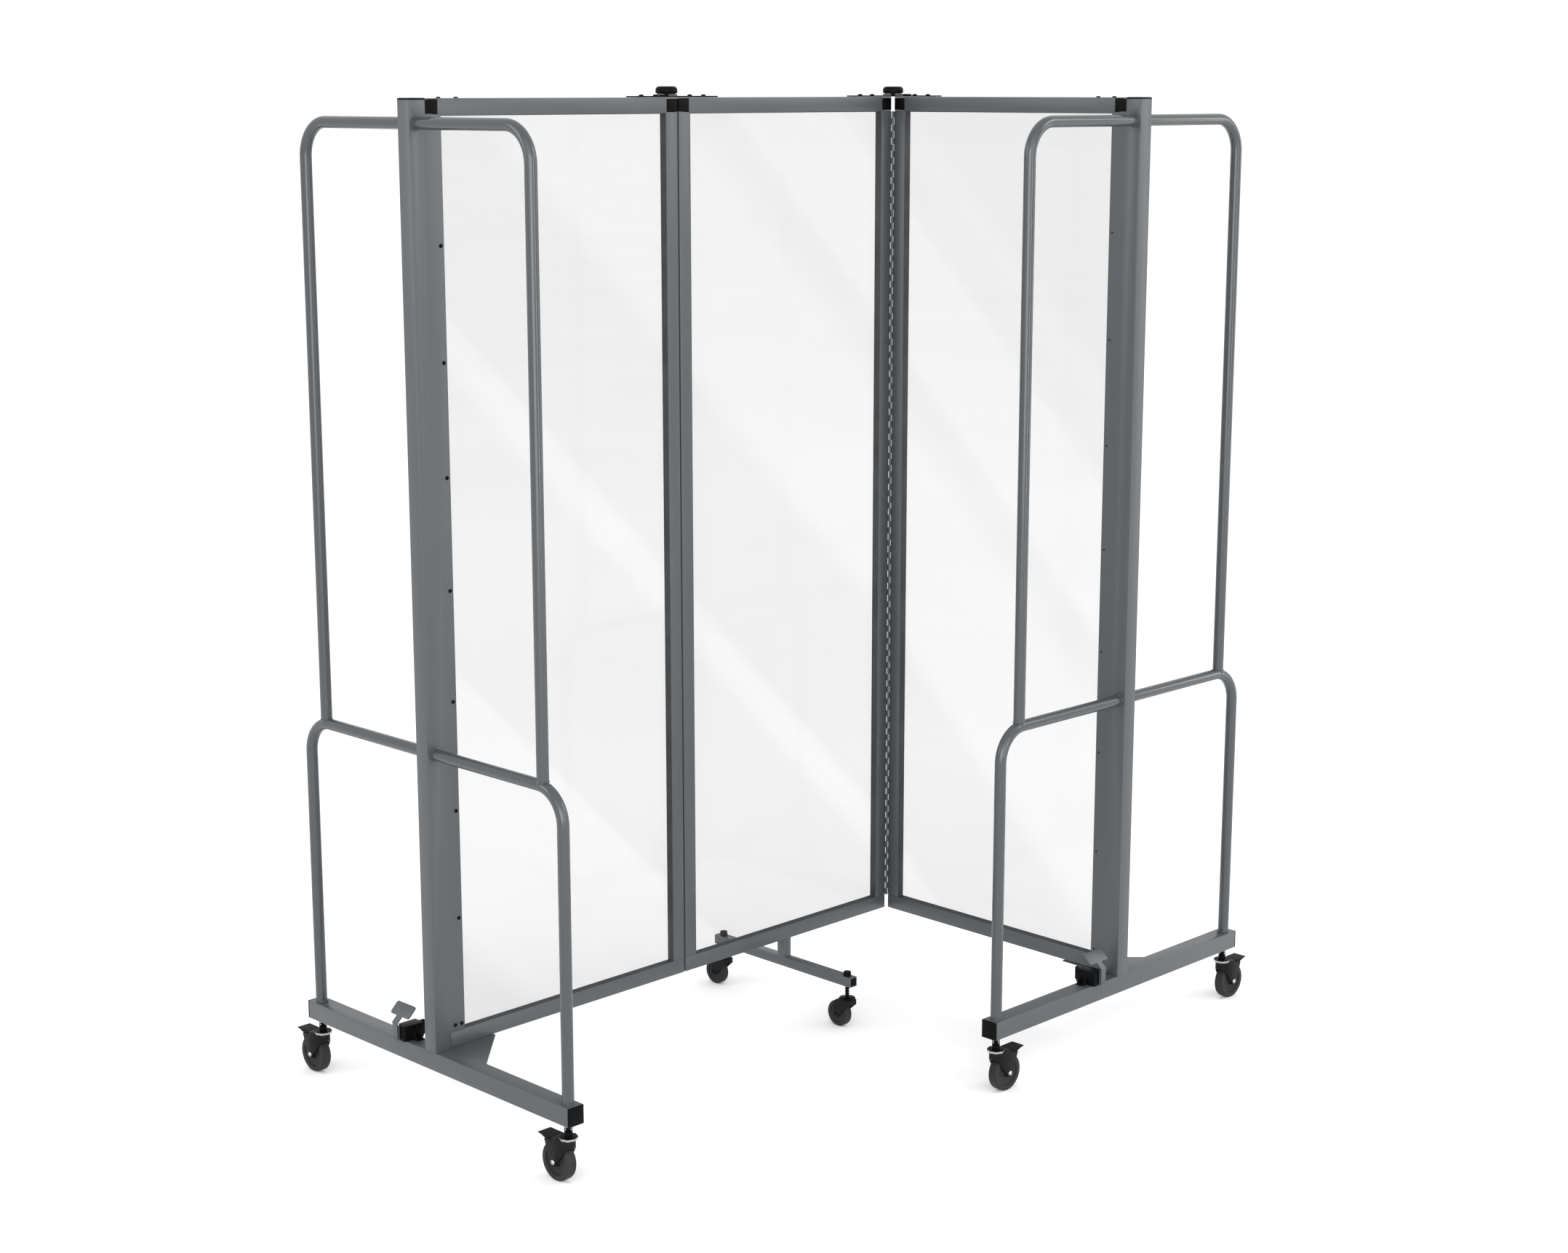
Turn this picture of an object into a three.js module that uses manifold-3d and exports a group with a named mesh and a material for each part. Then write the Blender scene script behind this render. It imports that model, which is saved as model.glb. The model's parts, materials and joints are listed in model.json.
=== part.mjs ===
// Three-panel folding screen on casters, in millimetres, +Z up.
// The left and middle panels stand in one plane, and the right panel is folded forward (towards -Y).
// The origin is on the floor, under the centre of the box round the whole screen.
import * as THREE from "three";
import { mergeVertices } from "three/addons/utils/BufferGeometryUtils.js";
import Module from "manifold-3d";

const wasm = await Module();
wasm.setup();

// Clearances between pieces
const fitGap = 0.3; // between two pieces that touch on the real screen
const cutOverrun = 1; // how far a cutter runs past the face that it cuts
const weldDistance = 1e-4; // corners closer than this are one corner

// How finely round shapes are cut
const tubeSides = 12;
const bendSteps = 5;
const wheelSides = 18;
const treadSteps = 2;
const stemSides = 12;
const knuckleSides = 8;
const discSides = 24;
const outlineSteps = 4;

// Panels
const panelWidth = 565;
const panelHeight = 1650;
const panelDepth = 28;
const stileWidth = 28;
const railHeight = 28;
const frameWall = 1.8;
const panelGap = 3.2;
const paneThickness = 3;
const grooveDepth = 9;
const cornerBlockWidth = 25.7;
const cornerBlockHeight = 24;
const rightFold = THREE.MathUtils.degToRad(-90);

// Hinges between the panels
const hingeOffset = 2.5; // from the panel's face to the axis
const knuckleRadius = 2.25;
const knuckleBore = 1.2;
const hingePinRadius = 0.9;
const knuckleLength = 132;
const knuckleGap = 0.4;
const leafThickness = 0.9;
const leafReach = 24;
const hingeEndMargin = 28; // from the panel's top and bottom to the knuckles
const fewestKnuckles = 2; // of both leaves together, however short the panel is

// Plates and knobs on top of the hinges
const plateThickness = 2.4;
const plateReach = 102;
const plateWidth = 22;
const earRadius = 20;
const joggleStart = 21;
const knobShaftRadius = 4;
const knobDiscRadius = 17;
const knobRadius = 20;
const knobHeight = 12.5;
const knobEdgeRadius = 6;
const knobSlit = 1.4;

// End posts
const postReach = 34.7; // from the panel's edge out to the post's outer face
const postOverlap = 31;
const postSheet = 1;
const postTopDrop = 2.5;
const postNotchTop = 26.4;
const postNotchBottom = 27.5;
const postNotchGap = 1.2; // between the panel's outer edge and the upright side of the notches

// Base beams and gussets
const beamSize = 34;
const beamWall = 2;
const beamLength = 747.6;
const beamDrop = 2; // from the panel's bottom edge down to the beam's top
const beamCapThickness = 2.5;
const beamCapSpigot = 8;
const gussetLeg = 101;
const gussetThickness = 2.5;

// Guard hoops
const hoopRadius = 10.5;
const hoopBend = 60;
const upperHoopInset = 69.8; // from the beam's end in to the tall hoop's leg
const lowerHoopInset = 20; // from the beam's end in to the low hoop's leg
const upperBarDrop = 40.4; // from the panel's top down to the bar's centre line
const lowerBarHeight = 540; // from the panel's bottom up to the bar's centre line

// Middle foot
const footTube = 19;
const footWall = 1.5;
const footLength = 384;
const footDrop = 39; // from the panel's bottom down to the foot's top

// Foot latches
const latchOffset = 81; // from the panel's mid-plane to the housing's centre
const latchWidth = 25;
const latchHeight = 28;
const latchOverhang = 5.6;
const latchDepth = 43.1;
const latchCorner = 4;
const rampInset = 18.6; // from the housing's outer face to the first ramp
const rampSpacing = 14.5;
const rampReach = 13;
const rampHeight = 15;
const rampThickness = 2;
const rampBase = 1.5;
const cheekThickness = 2.5;
const cheekReach = 60;
const cheekHeight = 22;
const cheekDrop = 7;
const cheekChamfer = 3.5;
const pedalSheet = 2.5;
const pedalReach = 11.3;
const pedalLegWidth = 13;
const pedalLegHeight = 34;
const pedalLegOffset = 8;
const pedalNeckWidth = 14;
const pedalNeckLength = 14.5;
const pedalPlateWidth = 53;
const pedalPlateLength = 25.5;
const pedalPlateCorner = 5;
const pedalPivotOut = 3.2;
const pedalPivotUp = 5;
const pedalPinRadius = 1.2;
const pedalEarRadius = 3.4;
const pedalFlange = 2;
const pedalFlangeHeight = 30;
const pedalFlangeChamfer = 8;
const pedalSlope = THREE.MathUtils.degToRad(45);

// Casters, of two kinds with the same named sizes. The height is from the floor to the beam's underside.
const endCaster = {
  height: 109.7,
  wheelRadius: 35,
  tread: 20,
  treadEdge: 5,
  rimWidth: 6,
  webThickness: 9,
  hubRadius: 9,
  hubLength: 20.8,
  axleRadius: 3,
  trail: 25,
  stemInset: 21,
  stemRadius: 5.6,
  stemRibRadius: 7,
  stemRibs: 4,
  stemRun: 21,
  stemSocket: 20,
  collarRadius: 15,
  collarHeight: 4.5,
  nutRadius: 16,
  nutHeight: 4,
  nutSides: 8,
  spigotRadius: 6,
  crownHeight: 8,
  crownBack: 26.2,
  noseReach: 12.7,
  forkHalfWidth: 14.7,
  forkWall: 2.9,
  forkBoss: 8,
};
const footCaster = {
  height: 87.7,
  wheelRadius: 26,
  tread: 16,
  treadEdge: 4,
  rimWidth: 4.5,
  webThickness: 7,
  hubRadius: 7,
  hubLength: 16.8,
  axleRadius: 2.5,
  trail: 20,
  stemInset: 17,
  stemRadius: 3.6,
  stemRibRadius: 5,
  stemRibs: 4,
  stemRun: 25,
  collarRadius: 16,
  collarHeight: 3.5,
  nutRadius: 7,
  nutHeight: 10,
  spigotRadius: 5,
  crownHeight: 5,
  crownBack: 22,
  noseReach: 14,
  forkHalfWidth: 12,
  forkWall: 2.4,
  forkBoss: 6.5,
};
// Side view of a fork, in shares of the wheel's radius from the axle: back, then front from low to high
const forkBackShares = [
  [0.614, 1.05],
  [0.51, 0.786],
];
const forkFrontShares = [
  [-0.583, 0.411],
  [-0.8, 0.72],
];
const forkArchShare = 0.943;
const spigotShare = 0.9; // of the crown's height, that the spigot reaches into the fork
const backLipShare = 1 / 3; // of the crown's height, left over the open back of a fork with no lever
const nutCrownShare = 0.7; // of a domed nut's radius, that its flat top takes
const nutEdgeShare = 0.4; // of a domed nut's radius, that its edge slopes down

// Brake levers on the end casters
const leverSink = 1; // below the crown's top
const leverLength = 37;
const leverHalfWidth = 14.1;
const leverThickness = 2.6;
const leverTip = 1;
const leverHeel = 5.5;
const leverHeelRun = 15;
const leverPinRadius = 1.2;
const leverPinInset = 3;
const leverGap = 0.5;
const leverPress = THREE.MathUtils.degToRad(12);

// Places that follow from the sizes
const beamTop = endCaster.height + beamSize;
const panelBottom = beamTop + beamDrop;
const panelTop = panelBottom + panelHeight;
const footTop = panelBottom - footDrop;
const halfDepth = panelDepth / 2;
const halfPanel = panelWidth / 2;
const hingeAxisOut = halfPanel + panelGap / 2;
const hingeAxisSide = halfDepth + hingeOffset;
const outerFace = panelWidth + panelGap / 2 + postReach; // from a hinge axis to its post's outer face
const beamCentre = outerFace - beamSize / 2;
const upperHoopHalf = beamLength / 2 - upperHoopInset;
const lowerHoopHalf = beamLength / 2 - lowerHoopInset;

const slate = new THREE.MeshStandardMaterial({ color: 0x6b7176, roughness: 0.55, metalness: 0.3 });
const clear = new THREE.MeshStandardMaterial({
  color: 0xeef1f2,
  roughness: 0.06,
  metalness: 0,
  transparent: true,
  opacity: 0.2,
});
const black = new THREE.MeshStandardMaterial({ color: 0x171717, roughness: 0.5, metalness: 0 });
const tyre = new THREE.MeshStandardMaterial({ color: 0x2b2b2b, roughness: 0.7, metalness: 0 });
const steel = new THREE.MeshStandardMaterial({ color: 0xb9bcc0, roughness: 0.3, metalness: 1 });

// A closed geometry as a solid that can be joined and cut. Its outline may be drawn either way round.
function solid(geometry) {
  const bare = geometry.clone();
  bare.deleteAttribute("normal");
  bare.deleteAttribute("uv");
  const merged = mergeVertices(bare, weldDistance);
  const vertProperties = merged.attributes.position.array;
  const triVerts = new Uint32Array(merged.index.array);
  const made = new wasm.Manifold(new wasm.Mesh({ numProp: 3, vertProperties, triVerts }));
  return made.volume() < 0 ? solid(turnedOut(merged)) : made;
}

function turnedOut(geometry) {
  const order = geometry.index.array.slice().reverse();
  return new THREE.BufferGeometry()
    .setAttribute("position", geometry.attributes.position)
    .setIndex(new THREE.BufferAttribute(order, 1));
}

function join(...solids) {
  return solids.reduce((whole, next) => whole.add(next));
}

function cut(whole, ...cutters) {
  return cutters.reduce((rest, cutter) => rest.subtract(cutter), whole);
}

// A block between two corners, whichever way round each pair of limits comes.
function block([x0, x1], [y0, y1], [z0, z1]) {
  const box = new THREE.BoxGeometry(Math.abs(x1 - x0), Math.abs(y1 - y0), Math.abs(z1 - z0));
  return solid(box.translate((x0 + x1) / 2, (y0 + y1) / 2, (z0 + z1) / 2));
}

function outline(points) {
  return new THREE.Shape(points.map(([x, y]) => new THREE.Vector2(x, y)));
}

// An outline drawn in X and Y, as a slab between two heights.
function slabZ(shape, [z0, z1], curveSegments = outlineSteps) {
  const depth = z1 - z0;
  const geometry = new THREE.ExtrudeGeometry(shape, { depth, bevelEnabled: false, curveSegments });
  return solid(geometry.translate(0, 0, z0));
}

// An outline drawn in X and Z, as a slab between two places along Y.
function slabY(shape, [y0, y1], curveSegments = outlineSteps) {
  const depth = y1 - y0;
  const geometry = new THREE.ExtrudeGeometry(shape, { depth, bevelEnabled: false, curveSegments });
  return solid(geometry.rotateX(Math.PI / 2).translate(0, y1, 0));
}

// An outline drawn in Y and Z, as a slab between two places along X.
function slabX(shape, [x0, x1], curveSegments = outlineSteps) {
  const depth = x1 - x0;
  const geometry = new THREE.ExtrudeGeometry(shape, { depth, bevelEnabled: false, curveSegments });
  return solid(geometry.rotateX(Math.PI / 2).rotateZ(Math.PI / 2).translate(x0, 0, 0));
}

function circle(radius, x = 0, y = 0) {
  return new THREE.Shape().absarc(x, y, radius, 0, Math.PI * 2);
}

function rodZ(radius, [z0, z1], sides, x = 0, y = 0) {
  const rod = new THREE.CylinderGeometry(radius, radius, z1 - z0, sides).rotateX(Math.PI / 2);
  return solid(rod.translate(x, y, (z0 + z1) / 2));
}

function rodX(radius, [x0, x1], sides, y = 0, z = 0) {
  const rod = new THREE.CylinderGeometry(radius, radius, x1 - x0, sides).rotateZ(Math.PI / 2);
  return solid(rod.translate((x0 + x1) / 2, y, z));
}

function rodY(radius, [y0, y1], sides, x = 0, z = 0) {
  const rod = new THREE.CylinderGeometry(radius, radius, y1 - y0, sides);
  return solid(rod.translate(x, (y0 + y1) / 2, z));
}

// A turned shape about Z: its points are radius and height.
function turned(points, sides) {
  const profile = points.map(([radius, height]) => new THREE.Vector2(radius, height));
  return solid(new THREE.LatheGeometry(profile, sides).rotateX(Math.PI / 2));
}

// A path whose steps are its own points, so that straight runs stay one step long.
class Route extends THREE.Curve {
  constructor(points) {
    super();
    this.points = points;
  }

  getPoint(t, target = new THREE.Vector3()) {
    const last = this.points.length - 1;
    const place = THREE.MathUtils.clamp(t, 0, 1) * last;
    const index = Math.min(Math.floor(place), last - 1);
    return target.lerpVectors(this.points[index], this.points[index + 1], place - index);
  }

  getPointAt(u, target) {
    return this.getPoint(u, target);
  }

  getTangentAt(u, target) {
    return this.getTangent(u, target);
  }
}

// An upside-down U of round tube in the plane of Y and Z, standing on zFoot.
function hoop(half, zFoot, zBar) {
  const points = [new THREE.Vector3(0, -half, zFoot)];
  for (const side of [-1, 1]) {
    for (let step = 0; step <= bendSteps; step += 1) {
      const angle = ((side < 0 ? step : bendSteps - step) / bendSteps) * (Math.PI / 2);
      const y = side * (half - hoopBend + hoopBend * Math.cos(angle));
      points.push(new THREE.Vector3(0, y, zBar - hoopBend + hoopBend * Math.sin(angle)));
    }
  }
  points.push(new THREE.Vector3(0, half, zFoot));
  const settings = {
    steps: points.length - 1,
    curveSegments: tubeSides / 2,
    bevelEnabled: false,
    extrudePath: new Route(points),
  };
  return solid(new THREE.ExtrudeGeometry(circle(hoopRadius), settings));
}

// Adds a named mesh to a group. Material is the piece's own copy of its finish.
function piece(group, name, shape, material) {
  const { vertProperties, triVerts } = shape.getMesh();
  const geometry = new THREE.BufferGeometry()
    .setAttribute("position", new THREE.BufferAttribute(vertProperties, 3))
    .setIndex(new THREE.BufferAttribute(triVerts, 1));
  geometry.computeVertexNormals();
  const mesh = new THREE.Mesh(geometry, material.clone());
  mesh.name = name;
  group.add(mesh);
}

function pivot(group, name, x, y, z) {
  const turning = new THREE.Group();
  turning.name = name;
  turning.position.set(x, y, z);
  group.add(turning);
  return turning;
}

// A panel frame between two places along X: tube all round, with a groove for the pane inside.
function panelFrame([x0, x1]) {
  const depth = [-halfDepth, halfDepth];
  const whole = block([x0, x1], depth, [panelBottom, panelTop]);
  const seat = paneThickness / 2 + fitGap;
  const ringInX = frameWall + grooveDepth;
  const ring = cut(
    block(
      [x0 + frameWall, x1 - frameWall],
      [-halfDepth + frameWall, halfDepth - frameWall],
      [panelBottom + frameWall, panelTop - frameWall],
    ),
    block(
      [x0 + stileWidth - ringInX, x1 - stileWidth + ringInX],
      depth,
      [panelBottom + railHeight - ringInX, panelTop - railHeight + ringInX],
    ),
  );
  const window = block(
    [x0 + stileWidth, x1 - stileWidth],
    [-halfDepth - cutOverrun, halfDepth + cutOverrun],
    [panelBottom + railHeight, panelTop - railHeight],
  );
  const groove = block(
    [x0 + stileWidth - grooveDepth, x1 - stileWidth + grooveDepth],
    [-seat, seat],
    [panelBottom + railHeight - grooveDepth, panelTop - railHeight + grooveDepth],
  );
  const corners = [cornerCut(x0, 1), cornerCut(x1, -1)];
  return cut(whole, ring, window, groove, ...corners);
}

// The notch in a top corner, from the stile's outer edge at x inwards.
function cornerCut(x, inward) {
  return block(
    [x - inward * cutOverrun, x + inward * cornerBlockWidth],
    [-halfDepth - cutOverrun, halfDepth + cutOverrun],
    [panelTop - frameWall - cornerBlockHeight, panelTop - frameWall],
  );
}

function cornerBlock(x, inward) {
  return block(
    [x, x + inward * (cornerBlockWidth - fitGap)],
    [-halfDepth, halfDepth],
    [panelTop - frameWall - cornerBlockHeight + fitGap, panelTop - frameWall - fitGap],
  );
}

// The pane, tucked into the groove, with its top corners cut round the corner blocks.
function pane([x0, x1]) {
  const tuck = stileWidth - grooveDepth + fitGap;
  const tuckZ = railHeight - grooveDepth + fitGap;
  const sheet = block(
    [x0 + tuck, x1 - tuck],
    [-paneThickness / 2, paneThickness / 2],
    [panelBottom + tuckZ, panelTop - tuckZ],
  );
  return cut(sheet, cornerCut(x0, 1), cornerCut(x1, -1));
}

function panel(group, name, [x0, x1]) {
  piece(group, name + "_frame", panelFrame([x0, x1]), slate);
  piece(group, name + "_pane", pane([x0, x1]), clear);
  piece(group, name + "_left_corner_block", cornerBlock(x0, 1), black);
  piece(group, name + "_right_corner_block", cornerBlock(x1, -1), black);
}

// A hinge leaf about an axis on Z: outward is the side of its panel, and back points from the axis to
// the panel's depth. The pinned leaf has the first knuckle and holds the hinge's pin.
function hingeLeaf(outward, back, pinned) {
  const zLow = panelBottom + hingeEndMargin;
  const zHigh = panelTop - hingeEndMargin;
  const count = Math.max(fewestKnuckles, Math.round((zHigh - zLow) / knuckleLength));
  const pitch = (zHigh - zLow) / count;
  const outerX = outward * (panelGap / 2 - fitGap);
  const innerX = outerX - outward * leafThickness;
  const strip = block(
    [innerX, outerX],
    [back * (knuckleRadius + fitGap), back * (hingeOffset + leafReach)],
    [zLow, zHigh],
  );
  let leaf = strip;
  for (let index = pinned ? 0 : 1; index < count; index += 2) {
    const span = [zLow + index * pitch + knuckleGap / 2, zLow + (index + 1) * pitch - knuckleGap / 2];
    const tab = block([innerX, outerX], [0, back * (knuckleRadius + fitGap + cutOverrun)], span);
    leaf = join(leaf, tab, rodZ(knuckleRadius, span, knuckleSides));
  }
  if (pinned) return join(leaf, rodZ(hingePinRadius, [zLow, zHigh], knuckleSides));
  return cut(leaf, rodZ(knuckleBore, [zLow - cutOverrun, zHigh + cutOverrun], knuckleSides));
}

// The plate that ties a rail to its hinge's knob. Its ear lies round the axis, and the raised one
// steps over the other.
function topPlate(outward, back, raised) {
  const low = panelTop + fitGap;
  const high = low + plateThickness;
  const earLow = raised ? high + fitGap : low;
  const earHigh = earLow + plateThickness;
  const middle = back * hingeAxisSide;
  const width = [middle - plateWidth / 2, middle + plateWidth / 2];
  const reach = [outward * joggleStart, outward * plateReach];
  const bridge = [0, outward * (joggleStart + plateThickness)];
  const step = [outward * joggleStart, outward * (joggleStart + plateThickness)];
  const strip = block(reach, width, [low, high]);
  const ear = rodZ(earRadius, [earLow, earHigh], discSides);
  const neck = block(bridge, [0, width[back > 0 ? 1 : 0]], [earLow, earHigh]);
  const riser = block(step, width, [low, earHigh]);
  const hole = rodZ(knobShaftRadius + fitGap, [low - cutOverrun, earHigh + cutOverrun], discSides);
  return cut(join(ear, neck, riser, strip), hole);
}

// The knob that clamps the two ears of a hinge's top plates, with its shaft through both.
function foldKnob() {
  const discFoot = panelTop + 3 * fitGap + 2 * plateThickness;
  const domeFoot = discFoot + knobSlit;
  const domeTop = domeFoot + knobHeight;
  const edge = knobRadius - knobEdgeRadius;
  const shaft = rodZ(knobShaftRadius, [panelTop + fitGap, domeFoot], stemSides);
  const points = [[0, discFoot], [knobDiscRadius, discFoot], [knobDiscRadius, domeFoot]];
  points.push([knobRadius, domeFoot]);
  for (let step = 0; step <= outlineSteps; step += 1) {
    const angle = (step / outlineSteps) * (Math.PI / 2);
    const radius = edge + knobEdgeRadius * Math.cos(angle);
    points.push([radius, domeTop - knobEdgeRadius + knobEdgeRadius * Math.sin(angle)]);
  }
  points.push([0, domeTop]);
  return join(shaft, turned(points, discSides));
}

// The channel round the outer stile. outward is the side of the post, and edge the panel's outer edge.
function endPost(outward, edge) {
  const half = halfDepth + fitGap + postSheet;
  const outer = edge + outward * postReach;
  const tip = edge - outward * postOverlap;
  const low = beamTop + fitGap;
  const high = panelTop - postTopDrop;
  const whole = block([tip, outer], [-half, half], [low, high]);
  const channel = block(
    [tip - outward * cutOverrun, outer - outward * postSheet],
    [-half + postSheet, half - postSheet],
    [low - cutOverrun, high + cutOverrun],
  );
  const notch = [tip - outward * cutOverrun, edge + outward * postNotchGap];
  const across = [-half - cutOverrun, half + cutOverrun];
  const notchTop = block(notch, across, [panelTop - postNotchTop, high + cutOverrun]);
  const notchBottom = block(notch, across, [low - cutOverrun, panelBottom + postNotchBottom]);
  const barX = outer - (outward * beamSize) / 2;
  const holes = [panelTop - upperBarDrop, panelBottom + lowerBarHeight].map((z) =>
    rodY(hoopRadius + fitGap, across, tubeSides, barX, z),
  );
  return cut(whole, channel, notchTop, notchBottom, ...holes);
}

// The square base tube across the end, with its gusset under the panel.
function baseBeam(outward, edge, gussetSide) {
  const outer = edge + outward * postReach;
  const inner = outer - outward * beamSize;
  const half = beamLength / 2 - beamCapThickness - fitGap;
  const low = beamTop - beamSize;
  const tube = cut(
    block([inner, outer], [-half, half], [low, beamTop]),
    block(
      [inner + outward * beamWall, outer - outward * beamWall],
      [-half - cutOverrun, half + cutOverrun],
      [low + beamWall, beamTop - beamWall],
    ),
  );
  const tip = inner - outward * gussetLeg;
  const face = gussetSide * halfDepth;
  const plate = outline([
    [inner + (outward * beamWall) / 2, -face],
    [tip, -face],
    [tip, face],
    [inner + (outward * beamWall) / 2, face + gussetSide * gussetLeg],
  ]);
  const gusset = slabZ(plate, [beamTop - gussetThickness, beamTop]);
  const holes = [-1, 1].map((side) =>
    rodZ(
      endCaster.stemRibRadius + fitGap,
      [low - cutOverrun, low + beamWall + cutOverrun],
      stemSides,
      (inner + outer) / 2,
      side * (beamLength / 2 - endCaster.stemInset),
    ),
  );
  return cut(join(tube, gusset), ...holes);
}

function beamCap(outward, edge, side) {
  const outer = edge + outward * postReach;
  const inner = outer - outward * beamSize;
  const low = beamTop - beamSize;
  const end = (side * beamLength) / 2;
  const plateFoot = end - side * beamCapThickness;
  const tuck = beamWall + fitGap;
  return join(
    block([inner, outer], [plateFoot, end], [low, beamTop]),
    block(
      [inner + outward * tuck, outer - outward * tuck],
      [plateFoot - side * beamCapSpigot, plateFoot + (side * beamCapThickness) / 2],
      [low + tuck, beamTop - tuck],
    ),
  );
}

// Both hoops of one end: the tall one stands on the bar of the low one.
function guardHoops() {
  const lowerBar = panelBottom + lowerBarHeight;
  const lower = hoop(lowerHoopHalf, beamTop + fitGap, lowerBar);
  const upper = hoop(upperHoopHalf, lowerBar, panelTop - upperBarDrop);
  return join(lower, upper);
}

// The T-shaped foot under the middle panel, of small square tube.
function middleFoot() {
  const half = footTube / 2;
  const hollow = half - footWall;
  const low = footTop - footTube;
  const run = footLength / 2;
  const beam = block([-half, half], [-run, run], [low, footTop]);
  const stub = block([-half, half], [-half, half], [footTop - footWall, panelBottom - fitGap]);
  const beamHollow = block(
    [-hollow, hollow],
    [-run - cutOverrun, run + cutOverrun],
    [low + footWall, footTop - footWall],
  );
  const stubHollow = block([-hollow, hollow], [-hollow, hollow], [footTop - footTube / 2, panelBottom]);
  const holes = [-1, 1].map((side) =>
    rodZ(
      footCaster.stemRibRadius + fitGap,
      [low - cutOverrun, footTop + cutOverrun],
      stemSides,
      0,
      side * (run - footCaster.stemInset),
    ),
  );
  return cut(join(beam, stub), beamHollow, stubHollow, ...holes);
}

// The latch housing, with x outward from the beam's outer face and z up from the beam's top.
// Its ramps face -Y, and its cheek plate lies on the far side and reaches past the beam.
function latchHousing(outward) {
  const out = latchOverhang;
  const into = out - latchDepth;
  const half = latchWidth / 2;
  const base = fitGap;
  const plan = new THREE.Shape();
  plan.moveTo(outward * into, -half);
  plan.lineTo(outward * (out - latchCorner), -half);
  plan.quadraticCurveTo(outward * out, -half, outward * out, -half + latchCorner);
  plan.lineTo(outward * out, half);
  plan.lineTo(outward * into, half);
  const box = slabZ(plan, [base, latchHeight]);
  const recessX = pedalPivotOut - pedalEarRadius - fitGap;
  const legNear = pedalLegOffset - pedalLegWidth / 2;
  const recess = block(
    [outward * recessX, outward * (out + cutOverrun)],
    [legNear - fitGap, half + cheekThickness + cutOverrun],
    [0, latchHeight + cutOverrun],
  );
  const pin = rodY(
    pedalPinRadius,
    [legNear - fitGap - pedalFlange, legNear + 2 * pedalFlange],
    stemSides,
    outward * pedalPivotOut,
    pedalPivotUp,
  );
  const housing = join(cut(box, recess), latchCheek(outward, recessX), ...latchRamps(outward));
  return join(housing, pin);
}

function latchCheek(outward, recessX) {
  const half = latchWidth / 2;
  const shape = [
    [recessX, fitGap],
    [recessX, cheekHeight],
    [cheekChamfer - cheekReach, cheekHeight],
    [-cheekReach, cheekHeight - cheekChamfer],
    [-cheekReach, cheekChamfer - cheekDrop],
    [cheekChamfer - cheekReach, -cheekDrop],
    [-beamSize - fitGap, -cheekDrop],
    [-beamSize - fitGap, fitGap],
  ].map(([x, z]) => [outward * x, z]);
  return slabY(outline(shape), [half - cheekThickness / 2, half + cheekThickness]);
}

function latchRamps(outward) {
  const half = latchWidth / 2;
  const first = latchOverhang - rampInset;
  const last = first - rampSpacing;
  const slope = outline([
    [-half + rampThickness / 2, fitGap],
    [-half - rampReach, fitGap],
    [-half - rampReach, fitGap + rampBase],
    [-half, fitGap + rampHeight],
    [-half + rampThickness / 2, fitGap + rampHeight],
  ]);
  const rib = (x) => {
    const span = [outward * x, outward * (x - rampThickness)].sort((a, b) => a - b);
    return slabX(slope, span);
  };
  const floor = block(
    [outward * first, outward * last],
    [-half + rampThickness / 2, -half - rampReach],
    [fitGap, fitGap + rampBase],
  );
  return [rib(first), rib(last + rampThickness), floor];
}

// The pedal: a leg with a flange on its pivot, and a wide plate that slopes back over the housing.
// x and z count from the pivot.
function pedal(outward) {
  const near = pedalLegOffset - pedalLegWidth / 2;
  const far = pedalLegOffset + pedalLegWidth / 2;
  const face = pedalReach - pedalPivotOut;
  const low = fitGap - pedalPivotUp;
  const bend = pedalLegHeight - pedalPivotUp;
  const leg = block([outward * (face - pedalSheet), outward * face], [near, far], [low, bend]);
  const flangeTop = pedalFlangeHeight - pedalPivotUp;
  const flangeShape = outline(
    [
      [0, -pedalEarRadius],
      [face - pedalSheet / 2, -pedalEarRadius],
      [face - pedalSheet / 2, flangeTop],
      [face - pedalSheet, flangeTop],
      [-pedalFlange / 2, flangeTop - pedalFlangeChamfer],
      [-pedalFlange / 2, 0],
    ].map(([x, z]) => [outward * x, z]),
  );
  const ear = rodY(pedalEarRadius, [near, near + pedalFlange], stemSides);
  const hole = rodY(pedalPinRadius + fitGap, [near - cutOverrun, near + pedalFlange + cutOverrun], stemSides);
  const flange = cut(join(slabY(flangeShape, [near, near + pedalFlange]), ear), hole);
  return join(leg, flange, pedalPlate(outward, face, bend));
}

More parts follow.
